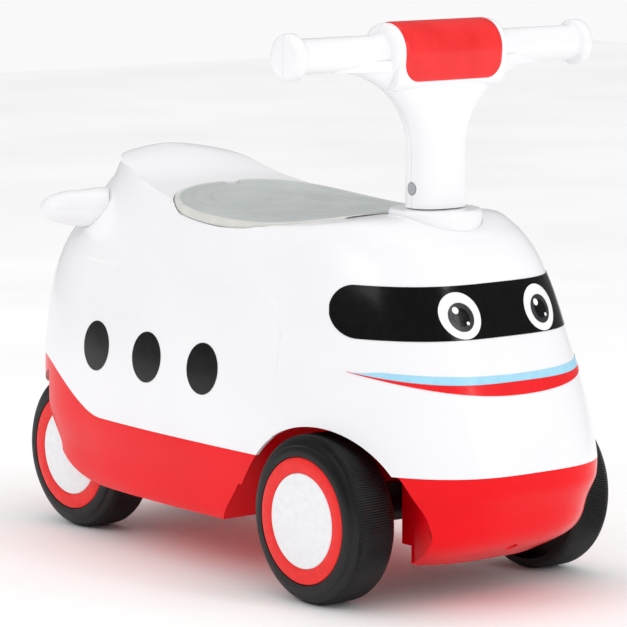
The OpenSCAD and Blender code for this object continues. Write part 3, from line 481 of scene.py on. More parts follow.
# %% Main sizes
NOSE, TAIL, STEER, REAR = 275.0, -275.0, 153.0, -208.0   # places along the body
KEEL, SKIRT, BELT, CREST, AXLE = 30.0, 46.0, 105.0, 322.0, 65.0   # heights
HALF, LENGTH = 123.0, NOSE - TAIL
FORM = [(-1, .104, .203, .053), (-.8, .051, .073, .036), (-.4, .015, .033, .020), (0, 0, 0, .004),
        (.2, .024, .016, 0), (.44, .064, .073, .007), (.62, .095, .138, .020),
        (.72, .118, .195, .038),
        (.8, .156, .260, .058), (.86, .220, .317, .075), (.92, .384, .398, .095),
        (.96, .602, .512, .120),
        (1, .820, .951, .158)]


def smooth(t):
    t = min(max(t, 0), 1)
    return t * t * (3 - 2 * t)


def smooth_min(a, b, k):
    h = max(k - abs(a - b), 0) / k
    return min(a, b) - h * h * k / 4


def rise(i, k):
    return (FORM[i + 1][k] - FORM[i][k]) / (FORM[i + 1][0] - FORM[i][0])


def rate(i, k):
    if i in (0, len(FORM) - 1):
        return rise(min(i, len(FORM) - 2), k)
    before, after = FORM[i][0] - FORM[i - 1][0], FORM[i + 1][0] - FORM[i][0]
    return (rise(i - 1, k) * after + rise(i, k) * before) / (before + after)


RATES = [[0] + [rate(i, k) for k in (1, 2, 3)] for i in range(len(FORM))]


def share(z):
    return (z - BELT) / (BELT - KEEL if z < BELT else CREST - BELT)


def draw_in(z, k):
    h = min(max(share(z), -1), 1)
    i = max([n for n in range(len(FORM) - 1) if FORM[n][0] <= h] or [0])
    gap = FORM[i + 1][0] - FORM[i][0]
    t = (h - FORM[i][0]) / gap
    return max(0, (2 * t**3 - 3 * t**2 + 1) * FORM[i][k] + (t**3 - 2 * t**2 + t) * gap * RATES[i][k]
               + (3 * t**2 - 2 * t**3) * FORM[i + 1][k] + (t**3 - t**2) * gap * RATES[i + 1][k])


LEVELS = {}


def level(z):
    """Nose, side, tail, waist and tail exponent of the outline at height z."""
    if z not in LEVELS:
        side = HALF * (1 - draw_in(z, 2))
        front, back = NOSE - LENGTH * draw_in(z, 1), TAIL + LENGTH * draw_in(z, 3)
        waist = min(63.8, max(front - 90.2, (front + back) / 2))
        LEVELS[z] = front, side, back, waist, 5 - 2.6 * smooth((share(z) - 0.4) / 0.5)
    return LEVELS[z]


# %% [markdown]
# The seat and the backrest are one saddle that climbs to the tail. The sides carry a
# sunk panel 1.5 mm deep with a soft edge, which stiffens a large thin wall.

# %% Seat surface, side panel and skin
LID_X, LID_A, LID_B = 3.5, 109.0, 92.5
LID_BACK = LID_X - LID_A


def seat_at(x, y):
    return (281 + 0.00070404 * (x - 24)**2 - 0.0005 * y * y
            + 8 * smooth((LID_BACK - 18 - x) / 50) * max(1 - (y / 81.18)**2, 0))


def panel(x, z):
    far = math.hypot(max(x - 69, 0), max(z - 195.945, 0))
    return smooth((36 - far) / 2.6) * smooth((x + 215) / 60)


def power(v, e):
    return math.copysign(abs(v)**e, v)


def skin_point(z, angle, inset=0.0, step=0.0):
    lean = min(max((z - BELT) / 12, -1), 1)
    front, side, back, waist, tail = level(round(min(max(z + inset * lean, KEEL), CREST), 4))
    front, side, back = front - inset, side - inset, back + inset
    c, s = math.cos(angle), math.sin(angle)
    along, across = (2.5, 3.2) if c >= 0 else (2.4, tail)
    x = waist + (front - waist if c >= 0 else waist - back) * power(c, 2 / along)
    y = power(s, 2 / across) * (side - step * panel(x, z))
    return x, y, smooth_min(z, seat_at(x, y) - inset, 9 if inset <= 0 else 5)


def half_width(x, z):
    front, side, back, waist, tail = level(z)
    along, across = (2.5, 3.2) if x >= waist else (2.4, tail)
    s = min(abs(x - waist) / (front - waist if x >= waist else waist - back), 1)
    return side * (1 - s**along)**(1 / across)


print("nose, side and tail at the belt:", [round(v, 1) for v in level(BELT)[:3]])

# %% [markdown]
# Equal steps of angle would bunch the points on the corners, so the angles are
# spaced by the length of the outline, and closer where the panel's edge needs them.

# %% Rings of the body
def spread(count):
    fine = [2 * math.pi * k / 7200 for k in range(7201)]
    points = [skin_point(150.0, a) for a in fine]
    run = [0.0]
    for p, q in zip(points, points[1:]):
        run.append(run[-1] + math.dist(p, q) * (2.6 if 66 < p[0] < 108 else 1))
    angles, k = [], 0
    for n in range(count):
        while run[k] < run[-1] * n / count:
            k += 1
        angles.append(fine[k])
    return angles


def stepped(low, high, rows):
    """Levels from low to high, with the spacing that each row gives up to its height."""
    levels, z = [low], low
    while z < high - 1e-6:
        step = next(s for top, s in rows if z < top)
        z = min(z + step, high)
        levels.append(round(z, 4))
    return levels


FINE = [(42, 1.5), (190, 3), (234, 1.5), (278, 3), (999, 0.8)]
PLAIN = [(280, 8), (999, 2)]
AROUND, AROUND_PLAIN = spread(360), spread(96)


def body_form(name, low, high, inset=0.0, fine=True):
    angles = AROUND if fine else AROUND_PLAIN
    return wrap(name, [[skin_point(z, a, inset, 1.5) for a in angles]
                       for z in stepped(low, high, FINE if fine else PLAIN)])


def belt_at(x):
    return BELT + 38 * smooth((-131 - x) / 115)


def beyond_belt(name, up):
    line = [(x, belt_at(x)) for x in [-300, *[-255 + 3 * k for k in range(45)], 300]]
    edge = 700 if up else -20
    return slab(name, line + [(300, edge), (-300, edge)], -250, 250)


# %% [markdown]
# ## Wheel wells and the upswept stern
# The same rooms are cut from the red shell, and 3 mm thicker ones become its liners.

# %% Rooms
def arch(grow, forward):
    points = []
    for k in range(67):
        a = math.radians(2.5 * k)
        points.append((STEER + ((forward if a < math.pi / 2 else 84) + grow) * math.cos(a),
                       AXLE + (70 + grow) * math.sin(a)))
    return points + [(57 - grow, 73), (25 - grow, 30), (9 - grow, -5), (STEER + forward + grow, -5)]


def arch_cut(side):
    return hull("arch", [(x, side * y, z) for y in (83, 123) for x, z in arch(0, 83)])


def front_well(grow, side, part):
    deep = [(x, side * 76, z) for x, z in arch(grow + 4, 83)]
    end, forward = (66 - grow, 50) if part == 0 else (118, 83)
    return hull("front_well", deep + [(x, side * end, z) for x, z in arch(grow + 4, forward)])


def rear_well(grow, side):
    points = []
    for x, z in [(REAR, AXLE), (REAR, -71), (REAR - 40, 41), (REAR - 40, -71)]:
        for k in range(72):
            a = 2 * math.pi * k / 72
            for y in (47 - grow, 95 + grow):
                points.append((x + (71 + grow) * math.cos(a), side * y,
                               z + (71 + grow) * math.sin(a)))
    return hull("rear_well", points)


def tunnel(grow):
    return block("tunnel", (STEER - 40 - grow, -132, -5), (STEER + 40 + grow, 132, 95 + grow))


def channel(grow):
    return block("channel", (REAR - 20.3 - grow, -95, -5), (REAR + 20.3 + grow, 95, 81 + grow))


def under_body(grow):
    sweep = [(-136 - (137 - grow) * math.sin(math.radians(3 * k)),
              164 - (118 - grow) * math.cos(math.radians(3 * k)))
             for k in range(31)]
    return slab("under_body", sweep + [(-305, 164), (-305, -10), (204, -10), (204, SKIRT + grow)],
                -246, 246)


def wells(grow):
    return ([front_well(grow, side, part) for side in (-1, 1) for part in (0, 1)]
            + [rear_well(grow, side) for side in (-1, 1)] + [tunnel(grow), channel(grow)])


SCREWS = [(x, side * (half_width(x, BELT) - 30), 0,
           side) for x in (-105, 15) for side in (-1, 1)] + [(243, 0, 1, 0)]
print("screws at", [(round(x), round(y)) for x, y, _, _ in SCREWS])

# %% [markdown]
# ## The red lower shell
# It is moulded in one piece with its skirts, nose bumper, wheel arches and axle
# tunnel. The skin is the body's form less a copy of itself 3 mm smaller; the liners
# are joined on, and then everything that must stay open is cut last.

# %% Red shell
def lower_inside():
    pieces = wells(3) + [post("lower_post", x, y, KEEL, BELT + 0.7, 7) for x, y, _, _ in SCREWS]
    whole = pieces[0]
    for other in pieces[1:]:
        carve(whole, other, "UNION")
    return whole


red_body = body_form("red_lower_shell", KEEL, 147.0)
hollow = body_form("hollow", KEEL + 3, 152.0, 3, False)
carve(hollow, under_body(3))
carve(red_body, hollow)
liner = lower_inside()
carve(liner, body_form("liner_bound", KEEL + 1, 148.0, 1, False), "INTERSECT")
carve(red_body, liner, "UNION")
carve(red_body, beyond_belt("above", True))
liner = lower_inside()
carve(liner, body_form("inner_bound", KEEL + 2, 173.0, 3.3, False), "INTERSECT")
carve(red_body, liner, "UNION")
for room in [under_body(0), *wells(0), arch_cut(-1), arch_cut(1)]:
    carve(red_body, room)
for x, y, _, _ in SCREWS:
    carve(red_body, post("screw_hole", x, y, 0, 330, 2.2, 20))
    carve(red_body, post("screw_bore", x, y, 0, 91, 4.8, 24))
carve(red_body, post("rod_hole", STEER, 0, 0, 330, 11.3))
hand_over(red_body, red_shell, "body", "red_plastic", ["lower_shell"])

# %% [markdown]
# ## Lid, ledge and hinge places
# The seat lid's outline is a superellipse. Rings of it, dropped by a few
# millimetres, give the lid, the recess it lies in and the tub's flange alike.

# %% Lid rings
def lid_ring(draw, drop, count=240):
    ring = []
    for k in range(count):
        a = 2 * math.pi * k / count
        x = LID_X + (LID_A - draw) * power(math.cos(a), 2 / 3)
        y = (LID_B - draw) * power(math.sin(a), 2 / 3)
        ring.append((x, y, seat_at(x, y) - drop))
    return ring


HINGE_X, HINGE_Z, KNUCKLE = 109.0, 282.687, 3.3
COLLAR_TOP = seat_at(STEER, 0) + 1
COLUMN = COLLAR_TOP + 1


def recess():
    under = wrap("lid_recess", [lid_ring(d, 5.3) for d in (76, 58, 40, 22, 10, 7, 1.2,
                                                           -0.8)] + [lid_ring(-0.8, -60)])
    carve(under, wrap("flange_recess", [lid_ring(d, 7.6) for d in (60, 40, 17, 7, 6.7)] + [lid_ring(6.7, -2)]), "UNION")
    well = [(x, y, 236.0) for x, y, _ in lid_ring(14.5, 0)]
    return carve(under, wrap("tub_room", [well, lid_ring(14.5, -2)]), "UNION")


def fin(name, side, grow=0.0):
    """Stub fin: rings along an axis that sweeps back 32 degrees from the body's side."""
    rows = [(-9, 17 + grow, 21 + grow), (-5, 17 + grow, 21 + grow), (2, 16.6 + grow, 20.1 + grow),
            (10, 15.6 + grow, 18.6 + grow)]
    rows += [(17 + 30 * math.cos(t), 14.8 * math.sin(t), 17.2 * math.sin(t))
             for t in [math.radians(90 - 89 * k / 28) for k in range(29)]]
    a = math.radians(side * 122)
    x0, z0 = TAIL + 76, BELT + 0.751 * (CREST - BELT)
    y0 = side * half_width(x0, z0)
    rings = []
    for along, tall, broad in rows:
        ring = []
        for k in range(96):
            t = 2 * math.pi * k / 96
            u, v = broad * math.sin(t), -tall * math.cos(t)
            ring.append((x0 + along * math.cos(a) - u * math.sin(a),
                         y0 + along * math.sin(a) + u * math.cos(a), z0 + v))
        rings.append(ring)
    return wrap(name, rings)


print("collar top at", round(COLLAR_TOP, 1), "mm")

# %% [markdown]
# ## The white upper shell
# Body, backrest, steering boss and front arches come from one mould. The hidden
# ledge, boss, hinge block and screw posts are added before the openings are cut.

# %% White shell
white_body = body_form("white_upper_shell", BELT - 4, CREST)
carve(white_body, body_form("hollow", BELT - 12, CREST - 3, 3, False))
carve(white_body, beyond_belt("below", False))
for side in (-1, 1):
    carve(white_body, arch_cut(side))

inner = wrap("lid_ledge", [lid_ring(-3, 13), lid_ring(-3, 1)])
carve(inner, wrap("ledge_opening", [lid_ring(14.5, 18), lid_ring(14.5, -3)]))
carve(inner, post("boss", STEER, 0, COLLAR_TOP - 24, COLLAR_TOP + 16, 39.3, 96), "UNION")
carve(inner, block("hinge_block", (97, -54, 271.4), (116.3, 54, 291.4)), "UNION")
for x, y, dx, dy in SCREWS:
    rib = []
    for reach, top, radius in [(0, 28, 6), (26, 40, 2)]:
        for k in range(16):
            t = math.pi * k / 8
            for z in (0, top):
                rib.append((x + reach * dx + radius * math.cos(t),
                            y + reach * dy + radius * math.sin(t),
                            BELT + 1 + reach * 0.3 + z))
    rib = hull("screw_post", rib)
    carve(rib, post("pilot", x, y, BELT, BELT + 25, 2, 16))
    carve(inner, rib, "UNION")
carve(inner, body_form("inside", BELT - 4, CREST, 0.2, False), "INTERSECT")
for side in (-1, 1):
    for part in (0, 1):
        carve(inner, front_well(3.3, side, part))
carve(inner, tunnel(3.3))
carve(inner, beyond_belt("below", False))
carve(white_body, inner, "UNION")
carve(white_body, recess())
carve(white_body, post("rod_hole", STEER, 0, 0, 640, 11.3))
carve(white_body, post("collar_hole", STEER, 0, COLLAR_TOP - 20, 640, 36.3, 128))
carve(white_body, block("hinge_pocket", (79, -50.8, HINGE_Z - 5.8), (112.9, 50.8, 317)))
carve(white_body, block("leaf_pocket", (79, -30.5, HINGE_Z - 7.8), (112.9, 30.5, 295)))
for side in (-1, 1):
    carve(white_body, fin("socket", side, 0.3))
hand_over(white_body, white_shell, "body", "white_plastic", ["upper_shell"], 30)

# %% [markdown]
# The stub fins are plugged into sockets, so a hairline runs round each root.

# %% Fins and collar
hand_over(fin("left_stub_fin", 1), white_shell, "body", "white_plastic", ["left_tail_fin"])
hand_over(fin("right_stub_fin", -1), white_shell, "body", "white_plastic", ["right_tail_fin"])

rounding = [(36 - 3 * (1 - math.cos(t)),
             COLLAR_TOP - 3 + 3 * math.sin(t)) for t in [math.pi / 2 * k / 8 for k in range(9)]]
collar = turned("steering_collar_ring", [(11, COLLAR_TOP - 20), (36, COLLAR_TOP - 20), *rounding,
                                         (11.6, COLLAR_TOP),
                                         (11, COLLAR_TOP - 0.6)], 192,
                Matrix.Translation((STEER * MM, 0, 0)))
hand_over(collar, white_shell, "body", "white_plastic", ["steering_collar"])

# %% [markdown]
# ## The seat lid
# The lid has a rolled rim, two nested horseshoe grooves that open to the front and a
# long oval between them. The top is a dense skin, and each groove is pressed into it
# as a soft channel 3 mm wide.

# %% Grooves
def horseshoe(x, y, half, back, front):
    """Distance in mm, roughly, from a horseshoe that is open to the front."""
    s = (x + 25) / (front if x > -25 else back)
    size = (abs(s)**3 + (abs(y) / half)**3)**(1 / 3)
    return abs(size - 1) * half * (1 if x > -25 else back / half * 0.5 + 0.5)


def groove(x, y):
    deep = 0.0
    for half, back, front in [(66.5, 75, 120), (54, 62, 100)]:
        fade = 1 - smooth((x - 22) / 40)
        deep = max(deep, fade * (1 - smooth(horseshoe(x, y, half, back, front) / 1.5)))
    oval = math.hypot(x / 47, y / 20)
    return max(deep, 1 - smooth(abs(oval - 1) * 24 / 1.5))


PROUD = 1.8   # how far the rolled rim stands above the shell
top = []
for d in [6 + 1.1 * k for k in range(78)]:
    ring = lid_ring(min(d, 91.5), 0.9, 400)
    top.append([(x, y, z + PROUD - 0.9 * groove(x, y)) for x, y, z in ring])
rim = [(7, 5), (1.2, 5), (0.4, 4.6), (0, 3.8), (0, 2.2 - PROUD), (0.2, 1.3 - PROUD),
       (0.7, 0.5 - PROUD), (1.5, 0.1 - PROUD),
       (2.6, -PROUD), (3.8, 0.05 - PROUD), (5, 0.5 - PROUD)]
lid = wrap("grey_seat_lid", [lid_ring(d, 3.5, 400) for d in (76, 58, 40, 22, 10)]
           + [lid_ring(a, b, 400) for a, b in rim] + top)
PAD_Z = seat_at(HINGE_X - 20, 50) - 3.8
carve(lid, block("leaf_seat", (85, -50, PAD_Z), (104.7, 50, PAD_Z + 2)), "UNION")
print("seat lid:", len(lid.data.polygons), "faces before its hinge is cut")

# %% [markdown]
# The hinge lies under the front edge, so the lid is cut back to it and its knuckles
# stay free. A half-round notch in the back edge is the finger hold.

# %% Hinge cuts
carve(lid, turned("hinge_room", [(0, -50.5), (3.7, -50.5), (3.7, 50.5), (0, 50.5)], 48,
                  along_y(HINGE_X, HINGE_Z)))
carve(lid, block("ahead", (HINGE_X, -50.5, HINGE_Z - 20), (HINGE_X + 40, 50.5, HINGE_Z + 20)))
carve(lid, block("below", (HINGE_X - 4.3, -50.5, HINGE_Z - 20), (HINGE_X + 35.7, 50.5, HINGE_Z)))
carve(lid, block("leaf_room", (HINGE_X - 24.3, -50.5, PAD_Z - 20), (HINGE_X + 35.7, 50.5, PAD_Z)))
carve(lid, post("finger_hold", LID_BACK, 0, 200, 400, 9, 64))
hand_over(lid, seat_grey, "lid", "seat_plastic", ["seat_lid"], 40)
# The rolled rim is a little glossier than the seat and is painted a paler grey, a painted highlight where the rounded
# rim catches the light, so its faces take their own finish.
lid.data.materials.append(rim_painted_highlight_grey)
for face in lid.data.polygons:
    x, y = face.center.x / MM - LID_X, face.center.y / MM
    if ((abs(x) / LID_A)**3 + (abs(y) / LID_B)**3)**(1 / 3) > 1 - 3.4 / LID_B:
        face.material_index = 1
print("rim faces:", sum(face.material_index for face in lid.data.polygons))

# %% [markdown]
# ## The handlebar
# The bar is moulded as a front and a rear half that screw together. Its column
# flares out into the grips. A lofted web and a turned bar are joined, hollowed, and
# then split, which leaves the fine seam a real pair of halves shows.

# %% Column, flare and bar
BAR_Z, EDGE = 415.0, 149.0


def web_ring(z, inset, count):
    f = min(max(z - 340, 0) / 61.5, 1)
    half = 105 - 81 * math.sqrt(1 - f * f) - inset
    ring = []
    for k in range(count):
        a = 2 * math.pi * k / count
        y = half * power(math.sin(a), 0.8)
        deep = 13.5 + 5 * smooth(1 - (abs(y) - 24) / 81) - inset
        ring.append((STEER + deep * power(math.cos(a), 0.85), y, z))
    return ring


END = [(21.5, 46), (21.5, 48.4), (22.1, 49), (22.1, 52.4), (21.6, 53.6), (20, 55), (17, 56.2),
       (14.6, 56.9), (13.6, 58.2),
       (13.5, 60), (13.5, 134.5), (13.8, 135.8), (14.8, 137), (16.6, 138.2), (17.7, 139.8),
       (18, 141.4),
       (18, 144), (17.8, 145.2), (17, 146.8), (15.6, 148), (13.6, 148.8), (11, 149)]
bar = wrap("handlebar_form", [web_ring(z, 0, 200) for z in [COLUMN, COLUMN + 0.4,
                                                            *[COLUMN + 5 * k for k in range(1, 9)],
                                                            *[339 + 1.5 * k for k in range(42)],
                                                            401.5, 409.5]])
cradle = hull("pad_cradle", [(STEER + cx + r * math.cos(math.pi * k / 40), side * w,
                              BAR_Z + cz + r * math.sin(math.pi * k / 40))
                             for cx, cz, radius in ((0, 0, 22.1), (9.5, -18, 11)) for k in range(80)
                             for side in (-1, 1) for w,
                             r in ((53, radius - 1.4), (52.2, radius - 0.4), (51, radius))])
outline = [(0, -EDGE)] + [(r, -y) for r, y in reversed(END)] + END + [(0, EDGE)]
carve(bar, turned("grips", outline, 160, along_y(STEER, BAR_Z)), "UNION")
carve(bar, cradle, "UNION")
room = wrap("column_room", [web_ring(z, 2.6, 60) for z in (COLUMN + 2.6, 340, 350, 360, 370, 380,
                                                           388, 395.5, 400.5, 411)])
carve(room, turned("grip_room", [(0, -146.4), (12.4, -146.4), (12.4, -139), (10.9, -136),
                                 (10.9, -55), (18.9, -50),
                                 (18.9, 50), (10.9, 55), (10.9, 136), (12.4, 139), (12.4, 146.4),
                                 (0, 146.4)],
                   48, along_y(STEER, BAR_Z)), "UNION")
print("handlebar form:", len(bar.data.polygons), "faces")

# %% [markdown]
# Inside, a sleeve holds the rod, three floors stiffen the column, and short posts
# take the screws. They are kept within the form by intersecting them with a copy.

# %% Inside of the handlebar, and its halves
form = bar.copy(); form.data = bar.data.copy()
bpy.context.scene.collection.objects.link(form)
BAR_SCREWS = [(119, BAR_Z), (-119, BAR_Z), (26, 379), (-26, 379)]


def along_x(y, z):
    return Matrix.Translation((STEER * MM, y * MM, z * MM)) @ Matrix.Rotation(math.pi / 2, 4, "Y")


inside = post("rod_sleeve", STEER, 0, COLUMN, 374, 10.5, 48)
for z in (COLUMN + 1, 340, 370):
    carve(inside, block("floor", (STEER - 30, -42, z), (STEER + 30, 42, z + 2.4)), "UNION")
for y, z in BAR_SCREWS:
    carve(inside, turned("screw_post", [(0, -20.5), (4.6, -20.5), (4.6, 20.5), (0, 20.5)], 32,
                         along_x(y, z)), "UNION")
carve(inside, form, "INTERSECT")
carve(bar, room)
carve(bar, inside, "UNION")
carve(bar, post("rod_bore", STEER, 0, COLUMN - 1, 371, 7.15, 48))
for y, z in BAR_SCREWS:
    carve(bar, turned("screw_hole", [(0, -40), (3.8, -40), (3.8, -7), (2, -7), (2, 9), (0, 9)], 40,
                      along_x(y, z)))
bolt = [(0, -44), (5.2, -44), (5.2, -20.6), (2.7, -20.6), (2.7, 48), (0, 48)]
carve(bar, turned("bolt_hole", bolt, 48, along_y(STEER, COLUMN + 15)))
rear_half = bar.copy(); rear_half.data = bar.data.copy()
bpy.context.scene.collection.objects.link(rear_half)
bar.name, rear_half.name = "handlebar_front", "handlebar_rear"
carve(bar, block("behind", (0, -200, 200), (STEER + 0.12, 200, 500)))
carve(rear_half, block("in_front", (STEER - 0.12, -200, 200), (300, 200, 500)))
hand_over(bar, white_shell, "steering", "white_plastic", ["handlebar_front_half"], 28)
hand_over(rear_half, white_shell, "steering", "white_plastic", ["handlebar_rear_half"], 28)

# %% [markdown]
# The pad is a flat vinyl cover, wrapped round the top and front of the hub and glued
# down. Its corners are rounded, its edge is pinched thin, and it puckers a little
# where the flat sheet is forced round the bar.

# %% Pad
CORNER = 14.0
lean = math.acos((22.1 - 11) / math.hypot(9.5, 18)) + math.atan2(-18,
                                                                 9.5)   # where the flat front leaves the bar


HUB = 22.1   # radius of the bar's middle, which the pad is wrapped round


def hub_path(s, lift):
    """A point at s mm from the pad's back edge, going over the top and down the front."""
    start = math.radians(128)
    over = (start - lean) * HUB
    if s < over:
        a = start - s / HUB
        return STEER + (HUB + lift) * math.cos(a), BAR_Z + (HUB + lift) * math.sin(a)
    down = s - over
    return (STEER + (HUB + lift) * math.cos(lean) + down * math.sin(lean),
            BAR_Z + (HUB + lift) * math.sin(lean) - down * math.cos(lean))


length = (math.radians(128) - lean) * HUB + 20
rows = sorted({0, *[CORNER * (1 - math.cos(math.pi / 2 * k / 16)) for k in range(1, 17)],
               *[CORNER + 0.9 * k for k in range(1, int((length - 2 * CORNER) / 0.9))],
               *[length - CORNER * (1 - math.cos(math.pi / 2 * k / 16)) for k in range(17)]})
rings = []
for s in rows:
    near = min(s, length - s)
    half = 48 - CORNER + math.sqrt(max(CORNER**2 - max(CORNER - near, 0)**2, 0))
    over, under = [], []
    for k in range(121):
        y = -half + 2 * half * k / 120
        puff = smooth(min(near + 0.15, half - abs(y)) / 2.2)
        pucker = (0.22 * math.sin(y * 0.9 + 2 * math.sin(s * 0.21))
                  * math.exp(-((s - 0.48 * length) / 5)**2) * smooth((abs(y) - 30) / 10))
        x, z = hub_path(s, 0.1 + 0.7 * puff + pucker * puff)
        over.append((x, y, z))
        x, z = hub_path(s, 0.02)
        under.append((x, y, z))
    rings.append(over + under[::-1])
hand_over(wrap("red_vinyl_pad", rings), pad_vinyl, "steering", "pad_vinyl", ["handlebar_pad"], 50)

# %% [markdown]
# ## Wheels
# A wheel is one black moulding with a ribbed tread, a red cap snapped into its face
# and a white disc in the cap. The section is spun with an even number of steps, and
# every second step of the tread is pressed in, which makes 208 fine ribs.

# %% One wheel, one cap, one disc
tread = [(48.8, 14), (48.8, 0.4), (49.2, 0), (52.4, 0), (54, 0.15), (56.6, 1.1), (57.2, 1.9),
         (57.6, 3.0), (58.6, 3.5),
         (60.4, 4.0), (61.8, 4.9), (63, 6.1), (63.9, 7.6), (64.6, 9.3), (65, 11.2), (65, 33.6),
         (64.6, 36), (63.6, 38),
         (62, 39.6), (60.6, 40), (57, 40), (57, 21), (13, 21), (13, 40), (4.1, 40), (4.1, 14)]
STEPS = 416
wheel = turned("wheel", tread, STEPS)
for vertex in wheel.data.vertices:
    r, w = math.hypot(vertex.co.x, vertex.co.y) / MM, vertex.co.z / MM
    if r > 60.9 and w > 4.2 and w < 39.5 and round(math.atan2(vertex.co.y,
                                                              vertex.co.x) / (2 * math.pi) * STEPS) % 2:
        press = (r - 0.65 * smooth((w - 4) / 2.5) * smooth((39.6 - w) / 2)) / r
        vertex.co.x, vertex.co.y = vertex.co.x * press, vertex.co.y * press
cap = turned("cap", [(0, 3), (36.65, 3), (36.65, 0.5), (36.9, 0.15), (37.4, 0), (47.4, 0),
                     (48.1, 0.3), (48.5, 0.9),
                     (48.5, 14), (45.5, 14), (45.5, 5), (0, 5)], 192)
disc = turned("disc", [(0, 0), (35.4, 0), (36, 0.2), (36.4, 0.6), (36.5, 1.1), (36.5, 3), (0, 3)],
              192)
print("wheel:", len(wheel.data.polygons), "faces, cap:", len(cap.data.polygons), "disc:",
      len(disc.data.polygons))

# %% [markdown]
# The four sets are copies with their own meshes, turned so that each outer face
# looks away from the body.

# %% Four wheel sets
for end, x, hub in (("front", STEER, 132), ("rear", REAR, 91)):
    for name, side in (("left", 1), ("right", -1)):
        to_hub = Matrix.Translation((x * MM, side * hub * MM,
                                     AXLE * MM)) @ Matrix.Rotation(side * math.pi / 2, 4, "X")
        for part, material, slot in ((wheel, wheel_black, "wheel_plastic"),
                                     (cap, cap_red, "red_plastic"),
                                     (disc, cap_white, "white_plastic")):
            piece = part.copy()
            piece.data = part.data.copy()
            bpy.context.scene.collection.objects.link(piece)
            piece.data.transform(to_hub)
            node = {"wheel": "wheel", "cap": "hub_cap", "disc": "hub_disc"}[part.name]
            piece.name = f"{end}_{name}_{node}_shown"
            hand_over(piece, material, f"{end}_{name}_wheel_set", slot, [f"{end}_{name}_{node}"],
                      30)
for part in (wheel, cap, disc):
    bpy.data.objects.remove(part)

# %% [markdown]
# ## Printed film on the nose
# A band of film is a thin closed skin that follows the shell a tenth of a millimetre
# above it: outer points one way and inner points back.

# %% Bands
def band(name, reach, low, high, end, across, lift=0.1, thick=0.2, count=150):
    rings = []
    for k in range(-count, count + 1):
        u = end * math.sin(math.pi / 2 * k / count) if end == 1 else end * k / count
        t = abs(u)
        heights = [low(t) + (high(t) - low(t)) * n / across for n in range(across + 1)]
        a = math.radians(u * reach)
        rings.append([skin_point(z, a, -lift - thick) for z in heights] + [skin_point(z, a, -lift) for z in heights[::-1]])
    return wrap(name, rings)


def visor_half(t):
    return 19.53 * math.sqrt(max(1 - (max(t - 0.84, 0) / 0.162)**2, 0))


def stripe(t):
    return 171.5 + 8.5 * t * t


VISOR = BELT + 217 * 0.546
hand_over(band("black_visor_film", 63.8, lambda t: VISOR - visor_half(t),
               lambda t: VISOR + visor_half(t), 1, 26),
          black_film, "body", "black_decal", ["visor_decal"], 60)
hand_over(band("red_stripe_film", 60.7, lambda t: 162 + 18 * t**1.2, stripe, 0.96, 8),
          red_film, "body", "red_decal", ["red_stripe_decal"], 60)
hand_over(band("pale_blue_stripe_film", 60.7, lambda t: stripe(t) + 0.25,
               lambda t: stripe(t) + 0.45 + (5 + 5 * t - 8.5 * t * t) * smooth((0.94 - t) / 0.2),
               0.92, 6),
          blue_film, "body", "blue_decal", ["blue_stripe_decal"], 60)

# %% [markdown]
# Eyes and windows are round films. Their rings are laid on the curved skin by a
# place function. The eyes are a plain generic pair: a white, a dark iris and a
# bright spot.

# %% Round films
def round_film(name, radius, place, low, high, centre=(0, 0), steps=96):
    """A round film from low to high above the skin, in eight rings a side."""
    def ring(r, lift):
        return [place(centre[0] + r * math.cos(2 * math.pi * k / steps),
                      centre[1] + r * math.sin(2 * math.pi * k / steps), lift)
                for k in range(steps)]
    radii = [radius * n / 8 for n in range(1, 9)]
    return wrap(name, [ring(r, low) for r in radii] + [ring(r, high) for r in radii[::-1]])


def nose_at(y, z, lift):
    front, side, back, waist, tail = level(round(z, 3))
    front, side = front + lift, side + lift
    return waist + (front - waist) * max(1 - (abs(y) / side)**3.2, 0)**0.4, y, z


def on_side(x0, side):
    def place(u, v, lift):
        x, z = x0 + side * u, 163 + v
        return x, side * (half_width(x, z) + lift - 1.5 * panel(x, z)), z
    return place


def joined(name, pieces):
    clear()
    for piece in pieces:
        piece.select_set(True)
    bpy.context.view_layer.objects.active = pieces[0]
    if len(pieces) > 1:
        bpy.ops.object.join()
    pieces[0].name = name
    return pieces[0]


windows = [round_film("window", 20.2, on_side(x, side), 0.1,
                      0.35) for side in (-1, 1) for x in (-141.5, -65, 11.5)]
hand_over(joined("window_films", windows), black_film, "body", "black_decal", ["window_decals"], 60)

EYE_Z = BELT + 217 * 0.537


def on_eye(side):
    return lambda u, v, lift: nose_at(side * 39.6 - u, EYE_Z + v, lift)


whites = [round_film("eye_white", 17, on_eye(side), 0.45, 0.6) for side in (-1, 1)]
hand_over(joined("eye_white_films", whites), white_film, "body", "white_decal", ["eye_decals"], 60)
irises = [round_film("iris", 10.5, on_eye(side), 0.7, 0.85, (0, -1)) for side in (-1, 1)]
pupils = [round_film("pupil", 6.6, on_eye(side), 0.95, 1.1, (0, -1)) for side in (-1, 1)]
sparks = [round_film("spark", r, on_eye(side), 1.2, 1.3, spot) for side in (-1, 1) for r,
          spot in ((2.5, (4, 4.2)), (1.3, (-4, -5.6)))]
hand_over(joined("iris_films", irises), iris_film, "body", "black_decal", ["pupil_decals"], 60)
hand_over(joined("pupil_films", pupils), black_film, "body", "black_decal", (), 60)
hand_over(joined("eye_spark_films", sparks), white_film, "body", "white_decal", (), 60)

# %% [markdown]
# ## Small parts that keep their engineering shape
# Rods, nuts, screws, bushes, the hinge and the tub are already exactly what they
# are, so only their material slots are filled.

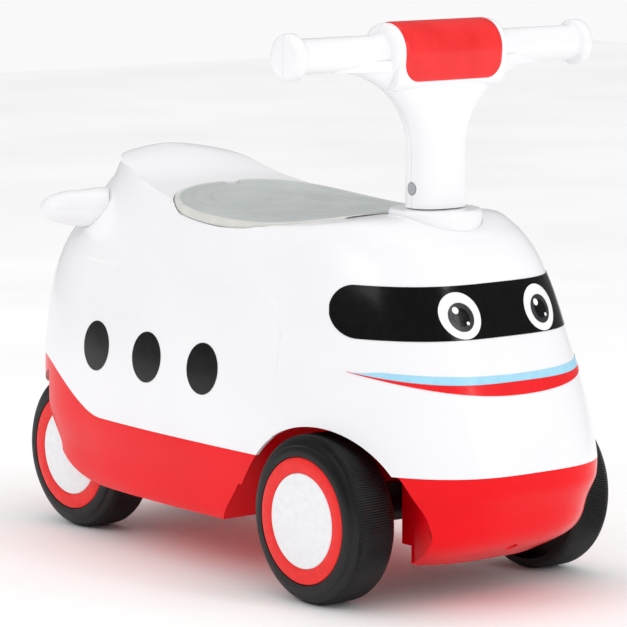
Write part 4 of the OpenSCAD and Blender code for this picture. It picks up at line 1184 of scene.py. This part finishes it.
# %% Finishes of the carried-over parts
KEEPS = {
    steel: ["hinge_pin", "body_screws", "handlebar_screws", "steering_rod", "rod_clip",
            "front_axle", "rear_axle",
            "front_push_nuts", "rear_push_nuts"],
    grey_nylon: ["lid_hinge_leaf", "body_hinge_leaf", "upper_bush", "lower_bush"],
    black_nylon: ["front_axle_carrier"],
    red_nylon: ["rear_axle_carrier"],
    tub_white: ["storage_tub"],
}
for material, names in KEEPS.items():
    for name in names:
        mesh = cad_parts[name].data
        if not mesh.materials:
            mesh.materials.append(material)
        for k in range(len(mesh.materials)):
            mesh.materials[k] = material
    print(material.name, "on", names)

# %% [markdown]
# ## The studio
# The floor is a plain pale sheet, wide enough to run past the edges of the view, and
# the surround is an even white, so the white body is drawn by its own soft shadows.

# %% Floor and surround
clear()
bpy.ops.mesh.primitive_plane_add(size=9, location=(0, 0, 0))
floor = bpy.context.object
floor.name = "studio_floor"
paper, tree, surface, place = finish("matt_white_paper_floor",
                                     {"Roughness": 0.9, "IOR": 1.4, "Specular IOR Level": 0.2})
fibre = add(tree, "ShaderNodeTexNoise", {"Scale": 1000 / 400, "Detail": 2.0}, {"Vector": place})
tone = add(tree, "ShaderNodeValToRGB", {}, {"Fac": fibre.outputs["Fac"]})
two_tone(tone, chart("#FAFAFA"), chart("#FFFFFF"))
tree.links.new(tone.outputs["Color"], surface.inputs["Base Color"])
floor.data.materials.append(paper)

world = bpy.data.worlds.new("even_white_surround")
bpy.context.scene.world = world
world.use_nodes = True
# The surround is white, but it is dimmer in reflections, as black card between
# softboxes would make it, so that the red and the black keep their depth.
sky = world.node_tree
sky.nodes.clear()
around = add(sky, "ShaderNodeBackground", {"Color": (1, 1, 1, 1), "Strength": 0.95})
card = add(sky, "ShaderNodeBackground", {"Color": (1, 1, 1, 1), "Strength": 0.22})
seen = add(sky, "ShaderNodeMixShader", {}, {0: add(sky,
                                                   "ShaderNodeLightPath").outputs["Is Glossy Ray"],
                                            1: around.outputs[0], 2: card.outputs[0]})
add(sky, "ShaderNodeOutputWorld", {}, {"Surface": seen.outputs[0]})
# The plain view transform keeps white plastic white and print colours as mixed.
bpy.context.scene.view_settings.view_transform = "Standard"
